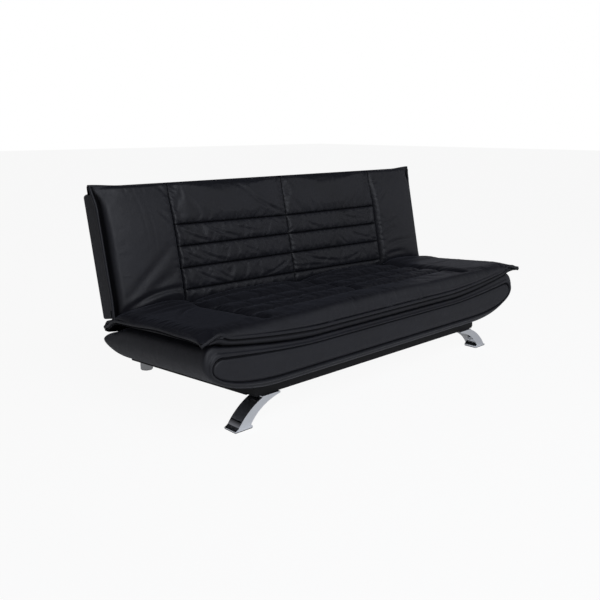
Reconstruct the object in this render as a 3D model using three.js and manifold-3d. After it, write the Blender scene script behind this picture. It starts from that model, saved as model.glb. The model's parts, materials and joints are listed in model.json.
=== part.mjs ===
// A click clack sofa bed: a steel base frame on chromed legs, a boat-shaped upholstered seat that
// tilts on it, and an upholstered back that folds flat behind the seat on two ratchet hinges.
// Millimetres, +Z up, the front of the sofa looks towards -Y, the floor is Z = 0, and the origin
// is on the floor in the middle of the footprint.
import * as THREE from "three";
import { mergeVertices } from "three/addons/utils/BufferGeometryUtils.js";
import Module from "manifold-3d";

const wasm = await Module();
wasm.setup();

// Clearances, how far cuts run past what they cut, and how near points must be to be one point
const fit_gap = 0.3;
const soft_gap = 0.5;
const overrun = 1500;
const weld_distance = 0.0001;

// Stance: the seat and the base slope down to the rear, the back leans away from the sitter
const seat_slope_angle = 4;
const back_lean_angle = 12;

// The hinge axis, through both hub bolts
const hub_height = 265;
const hub_setback = 170;

// Seat pad: reaches, heights and drops are measured from the hinge axis
const pad_side_half_length = 966;
const pad_tip_spread_length = 14;
const pad_half_length = pad_side_half_length + pad_tip_spread_length;
const pad_front_reach = 638;
const pad_tip_overhang = 4.5;
const pad_reach = pad_front_reach + pad_tip_overhang;
const pad_rear_reach = 66;
const pad_crown_height = 101;
const pad_side_edge_height = 75;
const pad_front_edge_height = 27;
const pad_front_rise_length = 566;
const pad_front_flat_half = pad_side_half_length - pad_front_rise_length;
const pad_rear_edge_height = 12;
const pad_rear_corner_rise = 16;
const pad_round_radius = 62;
const pad_tip_pinch_length = 120;
const pad_fin_thickness = 6;
const pad_seam_depth = 18;
const pad_seam_start_reach = 612;
const pad_seam_fade_length = 60;
const pad_channel_depth = 15;
const pad_channel_reach = 460;
const pad_channel_spacing = 120;
const pad_channel_count = 4;
const nose_radius = 71;
const nose_blend_length = 170;

// Boat-shaped seat shell under the pad
const boat_end_inset = 14;
const boat_half_length = pad_side_half_length - boat_end_inset;
const boat_front_inset = 15;
const boat_reach = pad_front_reach - boat_front_inset;
const boat_rear_reach = 66;
const boat_rim_drop = 5;
const boat_rim_rise = 60;
const boat_rim_rise_length = 502;
const boat_rim_flat_half = boat_half_length - boat_rim_rise_length;
const boat_rim_sink_reach = 110;
const boat_tip_length = 40;
const boat_rim_end_half = boat_half_length - boat_tip_length;
const boat_tip_drop = 10;
const boat_keel_drop = 147;
const boat_bilge_length = 332;
const boat_keel_half = boat_half_length - boat_bilge_length;
const boat_edge_radius = 16;
const boat_heel_reach = 80;
const boat_wall_thickness = 43;
const front_panel_inset = 31;
const front_panel_thickness = 8;
const front_panel_bevel_width = 5;

// Base frame of steel tube
const base_end_inset = 266;
const base_half_length = pad_side_half_length - base_end_inset;
const base_tube_height = 36;
const base_tube_width = 50;
const side_tube_width = 30;
const side_tube_inner = base_half_length - side_tube_width;
const base_front_setback = 65;
const base_front_reach = boat_reach - base_front_setback;
const bumper_height = 12.4;
const bumper_radius = 16;
const bumper_inset = 200;
const bumper_half_spacing = base_half_length - bumper_inset;
const tube_end_radius = 9;

// Dust cover under the boat, clear of the bumpers
const dust_cover_clearance = 37;
const dust_cover_thickness = 1.5;
const dust_cover_front_reach =
  base_front_reach - base_tube_width / 2 - bumper_radius - dust_cover_clearance;
const dust_cover_rear_reach = 60;

// Ratchet hinges: seat arm, back arm and base bracket side by side on each hub bolt, and the
// bracket against the base's side tube
const plate_thickness = 4.7;
const plate_pitch = plate_thickness + fit_gap;
const bracket_from = side_tube_inner - plate_pitch;
const back_arm_from = bracket_from - plate_pitch;
const seat_arm_from = back_arm_from - plate_pitch;
const hub_radius = 26;
const ratchet_radius = 34;
const ratchet_notch_radius = 7;
const ratchet_steps = [0, 38, 78];
const seat_arm_length = 190;
const seat_arm_height = 34;
const back_arm_width = 30;
const back_arm_length = 205;
const bracket_neck_width = 44;
const bracket_foot_length = 110;
const hub_bolt_radius = 6;
const bolt_clearance = 0.3;
const hub_bolt_head_radius = 11;
const hub_bolt_head_thickness = 7;
const pawl_setback = 52;
const pawl_drop = 16;
const pawl_boss_radius = 11;
const pawl_pin_radius = 4;
const pawl_nose_radius = 5;

// The slots in the upholstery that the hinges move in
const hinge_slot_clearance = 16;
const hinge_slot_front = ratchet_radius + hinge_slot_clearance;
const hinge_slot_side_clearance = 13;
const hinge_slot_nut_clearance = 8;
const hinge_slot_inner_half = seat_arm_from - hub_bolt_head_thickness - hinge_slot_nut_clearance;
const hinge_slot_outer_half =
  bracket_from + plate_pitch + hub_bolt_head_thickness + hinge_slot_side_clearance;
const pad_slot_clearance = 6.5;

// Seat and back frames of steel tube, with wooden slats and a foam deck
const frame_half_length = seat_arm_from - fit_gap;
const frame_clearance = 5;
const tube_width = 29.7;
const seat_tube_height = 40;
const seat_frame_front_reach = boat_reach - boat_wall_thickness - frame_clearance;
const seat_frame_rear_reach = hinge_slot_front + frame_clearance;
const slat_thickness = 12;
const slat_width = 62;
const slat_end_inset = 10;
const slat_half_length = frame_half_length - slat_end_inset;
const slat_chamfer_width = 4;
const seat_slats = 4;
const back_slats = 3;
const seat_deck_thickness = 17;
const seat_deck_low = -boat_rim_drop - fit_gap - seat_deck_thickness;
const seat_slat_low = seat_deck_low - fit_gap - slat_thickness;
const seat_tube_top = seat_slat_low - fit_gap;
const seat_tube_low = seat_tube_top - seat_tube_height;
const boat_floor_top = seat_tube_low - fit_gap;

// Upright back: up along it and forward from it, measured from the hinge axis
const back_foot_height = 76;
const board_top_height = 573.5;
const board_rear_depth = 74;
const board_corner_radius = 26;
const board_bevel_width = 11;
const board_side_clearance = 6;
const back_tube_depth = 30;
const back_frame_foot_inset = 34;
const back_frame_top_inset = 28.5;
const back_frame_foot_height = back_foot_height + back_frame_foot_inset;
const back_frame_top_height = board_top_height - back_frame_top_inset;
const back_deck_thickness = 10.4;
const back_slat_rear = -back_tube_depth / 2 - fit_gap;
const back_deck_rear = back_slat_rear - slat_thickness - fit_gap;
const board_front_depth = back_deck_thickness - back_deck_rear;
const back_pad_side_inset = 10;
const back_pad_side_half_length = pad_side_half_length - back_pad_side_inset;
const back_pad_tip_spread_length = 12;
const back_pad_half_length = back_pad_side_half_length + back_pad_tip_spread_length;
const board_end_inset = 18;
const board_half_length = back_pad_side_half_length - board_end_inset;
const back_pad_over_board = 16.5;
const back_pad_top_height = board_top_height + back_pad_over_board;
const back_pad_tip_rise = 8;
const back_pad_tip_height = back_pad_top_height + back_pad_tip_rise;
const back_pad_top_edge_depth = 34;
const back_pad_tip_edge_depth = 38;
const back_pad_side_edge_depth = 45;
const back_pad_foot_edge_depth = 48;
const back_pad_fin_thickness = 4;
const back_pad_crown_depth = 92;
const back_pad_head_crown_depth = 78;
const back_pad_head_height = 360;
const back_pad_round_radius = 58;
const back_seam_depth = 44;
const back_middle_drop_depth = 20;
const back_channel_depth = 15;
const back_channel_heights = [135, 225, 315, 405];

// Vertical seams between the middle panels and the side panels of both pads
const side_panel_width = 348;
const panel_seam_half = pad_side_half_length - side_panel_width;
const seam_width = 26;
const channel_width = 20;

// Chromed legs and their glides
const leg_width = 66;
const leg_front_setback = 12;
const leg_top_inset = 116;
const leg_toe_flare_length = 102;
const leg_bolt_inset = 56;
const glide_height = 3;
const glide_inset = 1;
const rear_leg_radius = 28;
const rear_leg_inset = 60;
const rear_glide_radius = 26;
const leg_bolt_radius = 4;
const leg_bolt_head_radius = 8;
const leg_bolt_head_height = 5;
const leg_bolt_depth = 26;

const degree = Math.PI / 180;
const round_segments = 40;
const small_round_segments = 20;

const leather = new THREE.MeshStandardMaterial({ color: 0x25262a, roughness: 0.45 });
const steel = new THREE.MeshStandardMaterial({ color: 0x0c0c0d, roughness: 0.5, metalness: 0.6 });
const zinc = new THREE.MeshStandardMaterial({ color: 0x9a9ca0, roughness: 0.35, metalness: 0.9 });
const chrome = new THREE.MeshStandardMaterial({ color: 0xd4d6da, roughness: 0.08, metalness: 1 });
const rubber = new THREE.MeshStandardMaterial({ color: 0x101012, roughness: 0.85 });
const timber = new THREE.MeshStandardMaterial({ color: 0xc39a63, roughness: 0.7 });
const foam = new THREE.MeshStandardMaterial({ color: 0xd9d2b4, roughness: 0.95 });
const felt = new THREE.MeshStandardMaterial({ color: 0x151517, roughness: 0.95 });

const sofa = new THREE.Group();

// The seat and the base share one sloping frame at the hinge axis; the back has its own
const slope = seat_slope_angle * degree;
const sloped = new THREE.Group();
sloped.position.set(0, hub_setback, hub_height);
sloped.rotation.x = -slope;
sofa.add(sloped);
const upright = new THREE.Group();
upright.position.set(0, hub_setback, hub_height);
upright.rotation.x = -back_lean_angle * degree;
sofa.add(upright);

// Where a point of the sloping frame lies before or behind the origin, and above the floor
const worldY = (y, z) => hub_setback + y * Math.cos(slope) + z * Math.sin(slope);
const worldZ = (y, z) => hub_height - y * Math.sin(slope) + z * Math.cos(slope);

// A node, made from a three.js geometry
function addPiece(group, name, geometry, material) {
  const mesh = new THREE.Mesh(geometry, material);
  mesh.name = name;
  group.add(mesh);
  return mesh;
}

// three.js geometry to solid and back
function solidOf(geometry) {
  const bare = geometry.clone();
  for (const name of Object.keys(bare.attributes)) {
    if (name !== "position") bare.deleteAttribute(name);
  }
  const merged = mergeVertices(bare, weld_distance);
  return new wasm.Manifold(
    new wasm.Mesh({
      numProp: 3,
      vertProperties: new Float32Array(merged.attributes.position.array),
      triVerts: new Uint32Array(merged.index.array),
    }),
  );
}

function geometryOf(solid) {
  const mesh = solid.getMesh();
  const geometry = new THREE.BufferGeometry();
  geometry.setAttribute("position", new THREE.BufferAttribute(mesh.vertProperties, 3));
  geometry.setIndex(new THREE.BufferAttribute(mesh.triVerts, 1));
  return geometry.toNonIndexed();
}

// A block between two corners
function block(low, high) {
  const size = high.map((value, axis) => value - low[axis]);
  const geometry = new THREE.BoxGeometry(...size);
  geometry.translate(...low.map((value, axis) => value + size[axis] / 2));
  return geometry;
}
const solidBlock = (low, high) => solidOf(block(low, high));

// A round bar along X between two places, at a depth and height
function barAlongX(radius, from, to, y, z, segments) {
  const geometry = new THREE.CylinderGeometry(radius, radius, to - from, segments);
  geometry.rotateZ(Math.PI / 2);
  geometry.translate((from + to) / 2, y, z);
  return geometry;
}

// A round bar along Z between two heights
function barAlongZ(radius, from, to, x, y, segments) {
  const geometry = new THREE.CylinderGeometry(radius, radius, to - from, segments);
  geometry.rotateX(Math.PI / 2);
  geometry.translate(x, y, (from + to) / 2);
  return geometry;
}

// A flat plate whose outline lies in Y and Z, between two places along X
function plateAcrossX(shape, from, to) {
  const geometry = new THREE.ExtrudeGeometry(shape, {
    depth: to - from,
    bevelEnabled: false,
    curveSegments: small_round_segments,
  });
  geometry.applyMatrix4(
    new THREE.Matrix4().makeBasis(
      new THREE.Vector3(0, 1, 0),
      new THREE.Vector3(0, 0, 1),
      new THREE.Vector3(1, 0, 0),
    ),
  );
  geometry.translate(from, 0, 0);
  return geometry;
}

// The same piece on the other side of the sofa
function mirrored(geometry) {
  const copy = geometry.clone();
  copy.scale(-1, 1, 1);
  const flipped = copy.index ? copy.toNonIndexed() : copy;
  const position = flipped.attributes.position;
  for (let corner = 0; corner < position.count; corner += 3) {
    const [x, y, z] = [position.getX(corner), position.getY(corner), position.getZ(corner)];
    const next = corner + 1;
    position.setXYZ(corner, position.getX(next), position.getY(next), position.getZ(next));
    position.setXYZ(next, x, y, z);
  }
  return flipped;
}

function addPair(group, name, geometry, material) {
  addPiece(group, name + "_right", geometry, material);
  addPiece(group, name + "_left", mirrored(geometry), material);
}

const clamped = (share) => Math.min(1, Math.max(0, share));
const smooth = (share) => clamped(share) ** 2 * (3 - 2 * clamped(share));
const mix = (from, to, share) => from + (to - from) * share;
// A quarter circle's height at a share of its run
const quarterRound = (share) => Math.sqrt(1 - (1 - clamped(share)) ** 2);

// A closed skin over rings of points that all have the same count, with flat ends
function skin(rings) {
  const count = rings[0].length;
  const points = rings.flat();
  const index = [];
  for (let ring = 0; ring + 1 < rings.length; ring++) {
    for (let i = 0; i < count; i++) {
      const a = ring * count + i;
      const b = ring * count + ((i + 1) % count);
      index.push(a, b + count, b, a, a + count, b + count);
    }
  }
  for (const [ring, turned] of [[0, false], [rings.length - 1, true]]) {
    const outline = rings[ring].map(([x, , z]) => new THREE.Vector2(x, z));
    for (const face of THREE.ShapeUtils.triangulateShape(outline, [])) {
      const [a, b, c] = face.map((i) => ring * count + i);
      if (turned) index.push(a, c, b);
      else index.push(a, b, c);
    }
  }
  const geometry = new THREE.BufferGeometry();
  geometry.setAttribute("position", new THREE.Float32BufferAttribute(points.flat(), 3));
  geometry.setIndex(index);
  return geometry;
}

// A pillow: an upper and a lower surface over one grid, which meet in its outer seam
function pillow(columns, rows, place, upper, lower) {
  const points = [];
  const index = [];
  const across = columns.length;
  const along = rows.length;
  const isEdge = (i, j) => i === 0 || j === 0 || i === across - 1 || j === along - 1;
  const top = [];
  const bottom = [];
  for (let j = 0; j < along; j++) {
    for (let i = 0; i < across; i++) {
      const [x, y, edge] = place(columns[i], rows[j]);
      const onEdge = isEdge(i, j);
      top.push(points.length / 3);
      points.push(x, y, onEdge ? edge : upper(x, y, columns[i], edge));
      if (onEdge) {
        bottom.push(top[top.length - 1]);
      } else {
        bottom.push(points.length / 3);
        points.push(x, y, lower(x, y, edge));
      }
    }
  }
  for (let j = 0; j + 1 < along; j++) {
    for (let i = 0; i + 1 < across; i++) {
      const near = j * across + i;
      const far = near + across;
      const corner = [near, near + 1, far + 1, far];
      const [a, b, c, d] = corner.map((k) => top[k]);
      const [e, f, g, h] = corner.map((k) => bottom[k]);
      index.push(a, b, c, a, c, d);
      index.push(e, g, f, e, h, g);
    }
  }
  const geometry = new THREE.BufferGeometry();
  geometry.setAttribute("position", new THREE.Float32BufferAttribute(points, 3));
  geometry.setIndex(index);
  return geometry;
}

// How far a sewn line pulls the cover down, by the distance from it
const tuck = (distance, width, depth) => depth * Math.exp(-((distance / width) ** 2));

// Height of the boat's upper rim along its length; it sinks towards the hinge
const rim_sink_share = 0.75;
const rise_power = 1.5;
function rimHeight(x, y) {
  const run = boat_rim_end_half - boat_rim_flat_half;
  const rise = boat_rim_rise * clamped((Math.abs(x) - boat_rim_flat_half) / run) ** rise_power;
  const sink = smooth((y + boat_rim_sink_reach) / (boat_rim_sink_reach + boat_rear_reach));
  return -boat_rim_drop + rise * (1 - rim_sink_share * sink);
}

// The places across the boat where its rim bends, from the middle out
const rim_steps = 7;
const rim_stations = [0];
for (let i = 0; i <= rim_steps; i++) {
  rim_stations.push(mix(boat_rim_flat_half, boat_rim_end_half, i / rim_steps));
}

// The rim as the straight lines between those places
function straightRim(x, y) {
  const far = Math.min(Math.abs(x), boat_rim_end_half);
  let i = 1;
  while (i < rim_stations.length - 1 && rim_stations[i] < far) i++;
  const [from, to] = [rim_stations[i - 1], rim_stations[i]];
  return mix(rimHeight(from, y), rimHeight(to, y), (far - from) / (to - from));
}

// One cross-section of the boat, drawn in by inset, with its keel lifted by keel_share
function boatSection(y, inset, keel_share) {
  const half = [];
  const keel_rise = boat_keel_drop - boat_tip_drop;
  const keel_steps = 9;
  for (let i = 0; i <= keel_steps; i++) {
    const angle = (i / keel_steps) * 90 * degree;
    half.push([
      mix(boat_keel_half, boat_half_length, Math.sin(angle)),
      -boat_keel_drop + keel_rise * (1 - Math.cos(angle)),
    ]);
  }
  const tip_steps = 4;
  for (let i = 1; i < tip_steps; i++) {
    const angle = (i / tip_steps) * 90 * degree;
    half.push([
      mix(boat_rim_end_half, boat_half_length, Math.cos(angle)),
      mix(-boat_tip_drop, rimHeight(boat_rim_end_half, y), Math.sin(angle)),
    ]);
  }
  for (const x of rim_stations.slice(1).reverse()) half.push([x, rimHeight(x, y)]);
  const centre = -(boat_keel_drop + boat_rim_drop) / 2;
  const squeeze = 1 - inset / (boat_keel_drop / 2);
  const shaped = half.map(([x, z]) => [
    x * (1 - inset / boat_half_length),
    centre + ((z < -boat_tip_drop ? z * keel_share : z) - centre) * squeeze,
  ]);
  const left = shaped.map(([x, z]) => [-x, z]).reverse();
  return [...shaped, ...left].map(([x, z]) => [x, y, z]);
}

// The boat: a rounded front edge, a straight run whose rim sinks, and a heel that lifts the keel
const sink_station_shares = [1, 0.64, 0.32];
function boatSolid() {
  const rings = [];
  const edge_steps = 4;
  for (let i = 0; i <= edge_steps; i++) {
    const angle = (i / edge_steps) * 90 * degree;
    const inset = boat_edge_radius * (1 - Math.sin(angle));
    rings.push(boatSection(-boat_reach + boat_edge_radius * (1 - Math.cos(angle)), inset, 1));
  }
  for (const share of sink_station_shares) {
    rings.push(boatSection(-boat_rim_sink_reach * share, 0, 1));
  }
  const heel_steps = 6;
  for (let i = 0; i <= heel_steps; i++) {
    const y = mix(0, boat_rear_reach, i / heel_steps);
    rings.push(boatSection(y, 0, Math.sqrt(1 - (y / boat_heel_reach) ** 2)));
  }
  return solidOf(skin(rings));
}

// The boat is built up from a floor, a front wall, two ends and a rear block round the frame
const boat = boatSolid();
const boatPart = (low, high) => geometryOf(boat.intersect(solidBlock(low, high)));
const wall_rear = -boat_reach + boat_wall_thickness;
const inner_half = hinge_slot_outer_half - fit_gap;
addPiece(
  sloped,
  "boat_front_wall",
  boatPart([-inner_half, -overrun, -overrun], [inner_half, wall_rear - fit_gap, overrun]),
  leather,
);
addPair(
  sloped,
  "boat_end",
  boatPart([hinge_slot_outer_half, -overrun, -overrun], [overrun, overrun, overrun]),
  leather,
);
function hingeSlots(front) {
  const outer = hinge_slot_outer_half + fit_gap;
  return solidBlock([hinge_slot_inner_half, front, -overrun], [outer, overrun, overrun]).add(
    solidBlock([-outer, front, -overrun], [-hinge_slot_inner_half, overrun, overrun]),
  );
}
const boat_floor = boat
  .intersect(solidBlock([-inner_half, wall_rear, -overrun], [inner_half, overrun, boat_floor_top]))
  .subtract(hingeSlots(-hinge_slot_front));
addPiece(sloped, "boat_floor", geometryOf(boat_floor), leather);
addPiece(
  sloped,
  "boat_rear_block",
  boatPart(
    [-hinge_slot_inner_half, -hinge_slot_front, boat_floor_top + fit_gap],
    [hinge_slot_inner_half, overrun, overrun],
  ),
  leather,
);

// Front panel: the boat's own outline, drawn in, with a soft edge
function frontPanel() {
  const centre = -(boat_keel_drop + boat_rim_drop) / 2;
  const share_x = 1 - front_panel_inset / boat_half_length;
  const share_z = 1 - (2 * front_panel_inset) / (boat_keel_drop - boat_rim_drop);
  const shape = new THREE.Shape(
    boatSection(0, 0, 1).map(
      ([x, , z]) => new THREE.Vector2(x * share_x, centre + (z - centre) * share_z),
    ),
  );
  const geometry = new THREE.ExtrudeGeometry(shape, {
    depth: front_panel_thickness - front_panel_bevel_width,
    bevelThickness: front_panel_bevel_width,
    bevelSize: front_panel_bevel_width,
    bevelOffset: -front_panel_bevel_width,
    bevelSegments: 2,
  });
  geometry.rotateX(Math.PI / 2);
  const shown = solidOf(geometry).intersect(
    solidBlock([-overrun, -overrun, -overrun], [overrun, 0, overrun]),
  );
  return geometryOf(shown).translate(0, -boat_reach - fit_gap, 0);
}
addPiece(sloped, "front_panel", frontPanel(), leather);

const dust_cover_top = -boat_keel_drop - fit_gap;
addPiece(
  sloped,
  "dust_cover",
  block(
    [-boat_keel_half, -dust_cover_front_reach, dust_cover_top - dust_cover_thickness],
    [boat_keel_half, -dust_cover_rear_reach, dust_cover_top],
  ),
  felt,
);

// Seat frame: four tubes, cambered slats across them and a foam deck on the slats
const frame_side_inner = frame_half_length - tube_width;
addPair(
  sloped,
  "seat_side_tube",
  block(
    [frame_side_inner, -seat_frame_front_reach, seat_tube_low],
    [frame_half_length, -seat_frame_rear_reach, seat_tube_top],
  ),
  steel,
);
for (const [name, y] of [
  ["seat_front_tube", -seat_frame_front_reach],
  ["seat_rear_tube", -seat_frame_rear_reach - tube_width],
]) {
  addPiece(
    sloped,
    name,
    block(
      [-frame_side_inner + fit_gap, y, seat_tube_low],
      [frame_side_inner - fit_gap, y + tube_width, seat_tube_top],
    ),
    steel,
  );
}

// A slat with eased long edges, lying along X with its lower face at zero
function slat() {
  const half = slat_width / 2;
  const shape = new THREE.Shape([
    new THREE.Vector2(-half, 0),
    new THREE.Vector2(half, 0),
    new THREE.Vector2(half, slat_thickness - slat_chamfer_width),
    new THREE.Vector2(half - slat_chamfer_width, slat_thickness),
    new THREE.Vector2(-half + slat_chamfer_width, slat_thickness),
    new THREE.Vector2(-half, slat_thickness - slat_chamfer_width),
  ]);
  return plateAcrossX(shape, -slat_half_length, slat_half_length);
}
const slat_front = -seat_frame_front_reach + slat_width;
const slat_rear = -seat_frame_rear_reach - slat_width;
for (let i = 0; i < seat_slats; i++) {
  const y = mix(slat_front, slat_rear, i / (seat_slats - 1));
  addPiece(sloped, "seat_slat_" + (i + 1), slat().translate(0, y, seat_slat_low), timber);
}
addPiece(
  sloped,
  "seat_foam_deck",
  block(
    [-slat_half_length, wall_rear + fit_gap, seat_deck_low],
    [slat_half_length, -hinge_slot_front - fit_gap, seat_deck_low + seat_deck_thickness],
  ),
  foam,
);

// Mirrored places across a pad, from the left edge to the right
const bothSides = (places) => [...places.slice(1).reverse().map((u) => -u), ...places];

// Both pads: where their grid's lines run, how far the corner tips spread and how flat they are
const pad_column_shares = bothSides([
  0, 0.035, 0.12, 0.24, 0.36, 0.48, 0.575, 0.618, 0.64, 0.662, 0.7, 0.78, 0.86, 0.925, 0.97, 1,
]);
const tip_curve_power = 6;
const tip_flat_share = 0.2;
const least_round_share = 0.1;
// How far along an edge each corner's tip is felt, and how much of it
const seat_tip_shares = { front: 0.16, rear: 0.12, rear_spread: 0.4, across: 0.12 };
const back_tip_shares = { top: 0.2, foot: 0.15, foot_spread: 0.3, across: 0.14 };
// How far along the pads' edges their seams rise or fall
const seat_edge_shares = { side_fall: 0.2, rear_rise: 0.4 };
const back_edge_shares = { top_rise: 0.45, side_rise: 0.15, foot_round: 0.6 };

// Seat pad
const seat_row_shares = [
  0, 0.025, 0.06, 0.11, 0.165, 0.21, 0.253, 0.296, 0.338, 0.381, 0.423, 0.466, 0.508, 0.551,
  0.594, 0.637, 0.679, 0.722, 0.764, 0.807, 0.865, 0.93, 0.97, 1,
];

// Half length of a pad where its corners spread the sides by a share of the tips
const spreadHalf = (side_half, half, u, spread) =>
  side_half + (half - side_half) * clamped(spread) * Math.abs(u) ** tip_curve_power;

function seatPlace(u, v) {
  const share = seat_tip_shares;
  const front_spread = smooth(1 - v / share.front);
  const rear_spread = share.rear_spread * smooth(1 - (1 - v) / share.rear);
  const x = u * spreadHalf(pad_side_half_length, pad_half_length, u, front_spread + rear_spread);
  const tip = pad_tip_overhang * smooth((Math.abs(u) - 1 + share.across) / share.across);
  const y = mix(-pad_front_reach - tip, pad_rear_reach, v);
  const rise_run = boat_rim_end_half - pad_front_flat_half;
  const rise = clamped((Math.abs(x) - pad_front_flat_half) / rise_run) ** rise_power;
  const rear_corner = pad_rear_edge_height + pad_rear_corner_rise;
  const { side_fall, rear_rise } = seat_edge_shares;
  const corner_rise = smooth((Math.abs(u) - 1 + rear_rise) / rear_rise);
  if (v === 0) return [x, y, mix(pad_front_edge_height, pad_side_edge_height, rise)];
  if (v === 1) return [x, y, mix(pad_rear_edge_height, rear_corner, corner_rise)];
  return [x, y, mix(pad_side_edge_height, rear_corner, smooth((v - 1 + side_fall) / side_fall))];
}

// How far the seat's seams and channels sink its cover at a place
function seatTucks(x, y) {
  const within = smooth((panel_seam_half - Math.abs(x)) / seam_width);
  const from_front = smooth((y + pad_seam_start_reach) / pad_seam_fade_length);
  let depth = Math.max(
    tuck(Math.abs(x) - panel_seam_half, seam_width, pad_seam_depth),
    tuck(x, seam_width, pad_seam_depth) * from_front,
  );
  for (let i = 0; i < pad_channel_count; i++) {
    const line = pad_channel_spacing * i - pad_channel_reach;
    depth = Math.max(depth, tuck(y - line, channel_width, pad_channel_depth) * within);
  }
  return depth;
}

function seatUpper(x, y, u, edge) {
  const near = (pad_side_half_length * (1 - Math.abs(u))) / pad_round_radius;
  const front = (y + pad_front_reach) / pad_round_radius;
  const swell = quarterRound(near) * quarterRound(Math.max(least_round_share, front));
  const corner = Math.hypot(pad_half_length - Math.abs(x), y + pad_reach);
  const pinch = mix(tip_flat_share, 1, smooth(corner / pad_tip_pinch_length));
  const low = mix(edge, pad_side_edge_height, smooth(front));
  const height = mix(low, pad_crown_height, swell * pinch) - seatTucks(x, y);
  if (y < -nose_blend_length) return height;
  const nose = Math.sqrt(Math.max(0, nose_radius ** 2 - Math.max(0, y) ** 2));
  return Math.min(height, mix(height, nose, smooth((y + nose_blend_length) / nose_blend_length)));
}

// The pad lies on the boat's rim; past the rim's end it thins to its fin
function seatLower(x, y, edge) {
  const rim = straightRim(x, y) + 2 * fit_gap;
  const past = (Math.abs(x) - boat_rim_end_half) / (pad_side_half_length - boat_rim_end_half);
  return mix(rim, Math.max(rim, edge - pad_fin_thickness), clamped(past));
}

const seat_pad = solidOf(
  pillow(pad_column_shares, seat_row_shares, seatPlace, seatUpper, seatLower),
)
  .subtract(boat.translate([0, 0, fit_gap]))
  .subtract(hingeSlots(-ratchet_radius - pad_slot_clearance));
addPiece(sloped, "seat_pad", geometryOf(seat_pad), leather);

// Back: rear panel with a soft edge, borders round the frame, tubes, slats, deck and pad.
// In the back's own frame X runs across, Y forward is negative and Z runs up along the back.
function boardSolid() {
  const shape = new THREE.Shape();
  const r = board_corner_radius;
  const [half, low, high] = [board_half_length, back_foot_height, board_top_height];
  shape.moveTo(-half + r, low);
  shape.lineTo(half - r, low);
  shape.absarc(half - r, low + r, r, -Math.PI / 2, 0, false);
  shape.lineTo(half, high - r);
  shape.absarc(half - r, high - r, r, 0, Math.PI / 2, false);
  shape.lineTo(-half + r, high);
  shape.absarc(-half + r, high - r, r, Math.PI / 2, Math.PI, false);
  shape.lineTo(-half, low + r);
  shape.absarc(-half + r, low + r, r, Math.PI, Math.PI * 1.5, false);
  const geometry = new THREE.ExtrudeGeometry(shape, {
    depth: board_rear_depth + board_front_depth - 2 * board_bevel_width,
    bevelThickness: board_bevel_width,
    bevelSize: board_bevel_width,
    bevelOffset: -board_bevel_width,
    bevelSegments: 3,
    curveSegments: 5,
  });
  geometry.rotateX(Math.PI / 2);
  return solidOf(geometry.translate(0, board_rear_depth - board_bevel_width, 0));
}
const board = boardSolid();
const boardPart = (low, high) => geometryOf(board.intersect(solidBlock(low, high)));
const back_frame_rear = back_tube_depth / 2;
const border_inner = bracket_from + plate_pitch + board_side_clearance;
addPiece(
  upright,
  "back_panel",
  boardPart([-overrun, back_frame_rear + fit_gap, 0], [overrun, overrun, overrun]),
  leather,
);
addPair(
  upright,
  "back_border",
  boardPart([border_inner, -overrun, 0], [overrun, back_frame_rear, overrun]),
  leather,
);
addPiece(
  upright,
  "back_border_top",
  boardPart(
    [-border_inner + fit_gap, -overrun, back_frame_top_height + fit_gap],
    [border_inner - fit_gap, back_frame_rear, overrun],
  ),
  leather,
);
addPiece(
  upright,
  "back_border_foot",
  boardPart(
    [-slat_half_length, -overrun, 0],
    [slat_half_length, back_frame_rear, back_frame_foot_height - fit_gap],
  ),
  leather,
);

addPair(
  upright,
  "back_side_tube",
  block(
    [frame_side_inner, -back_frame_rear, back_frame_foot_height],
    [frame_half_length, back_frame_rear, back_frame_top_height],
  ),
  steel,
);
for (const [name, z] of [
  ["back_foot_tube", back_frame_foot_height],
  ["back_top_tube", back_frame_top_height - tube_width],
]) {
  addPiece(
    upright,
    name,
    block(
      [-frame_side_inner + fit_gap, -back_frame_rear, z],
      [frame_side_inner - fit_gap, back_frame_rear, z + tube_width],
    ),
    steel,
  );
}
for (let i = 0; i < back_slats; i++) {
  const share = i / (back_slats - 1);
  const z = mix(back_frame_foot_height + slat_width, back_frame_top_height - slat_width, share);
  const upright_slat = slat().rotateX(Math.PI / 2).translate(0, back_slat_rear, z);
  addPiece(upright, "back_slat_" + (i + 1), upright_slat, timber);
}
addPiece(
  upright,
  "back_foam_deck",
  block(
    [-slat_half_length, -board_front_depth, back_frame_foot_height],
    [slat_half_length, back_deck_rear, back_frame_top_height],
  ),
  foam,
);

// Back pad, drawn lying on its back: X across, Y up along the back, Z forward
const back_row_shares = [
  0, 0.03, 0.07, 0.115, 0.16, 0.202, 0.246, 0.29, 0.334, 0.378, 0.421, 0.465, 0.509, 0.552,
  0.596, 0.64, 0.69, 0.76, 0.84, 0.91, 0.955, 0.985, 1,
];

function backPlace(u, v) {
  const share = back_tip_shares;
  const top_spread = smooth(1 - (1 - v) / share.top);
  const foot_spread = share.foot_spread * smooth(1 - v / share.foot);
  const spread = top_spread + foot_spread;
  const x = u * spreadHalf(back_pad_side_half_length, back_pad_half_length, u, spread);
  const tip = back_pad_tip_rise * smooth((Math.abs(u) - 1 + share.across) / share.across);
  const y = mix(back_foot_height, back_pad_top_height + tip, v);
  const { top_rise, side_rise } = back_edge_shares;
  const least = board_front_depth + 2 * soft_gap;
  const corner_rise = smooth((Math.abs(u) - 1 + top_rise) / top_rise);
  if (v === 1) return [x, y, mix(back_pad_top_edge_depth, back_pad_tip_edge_depth, corner_rise)];
  if (v === 0) return [x, y, Math.max(back_pad_foot_edge_depth, least)];
  const side = mix(back_pad_foot_edge_depth, back_pad_side_edge_depth, v);
  const edge = mix(side, back_pad_tip_edge_depth, smooth((v - 1 + side_rise) / side_rise));
  return [x, y, Math.max(edge, least)];
}

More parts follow.
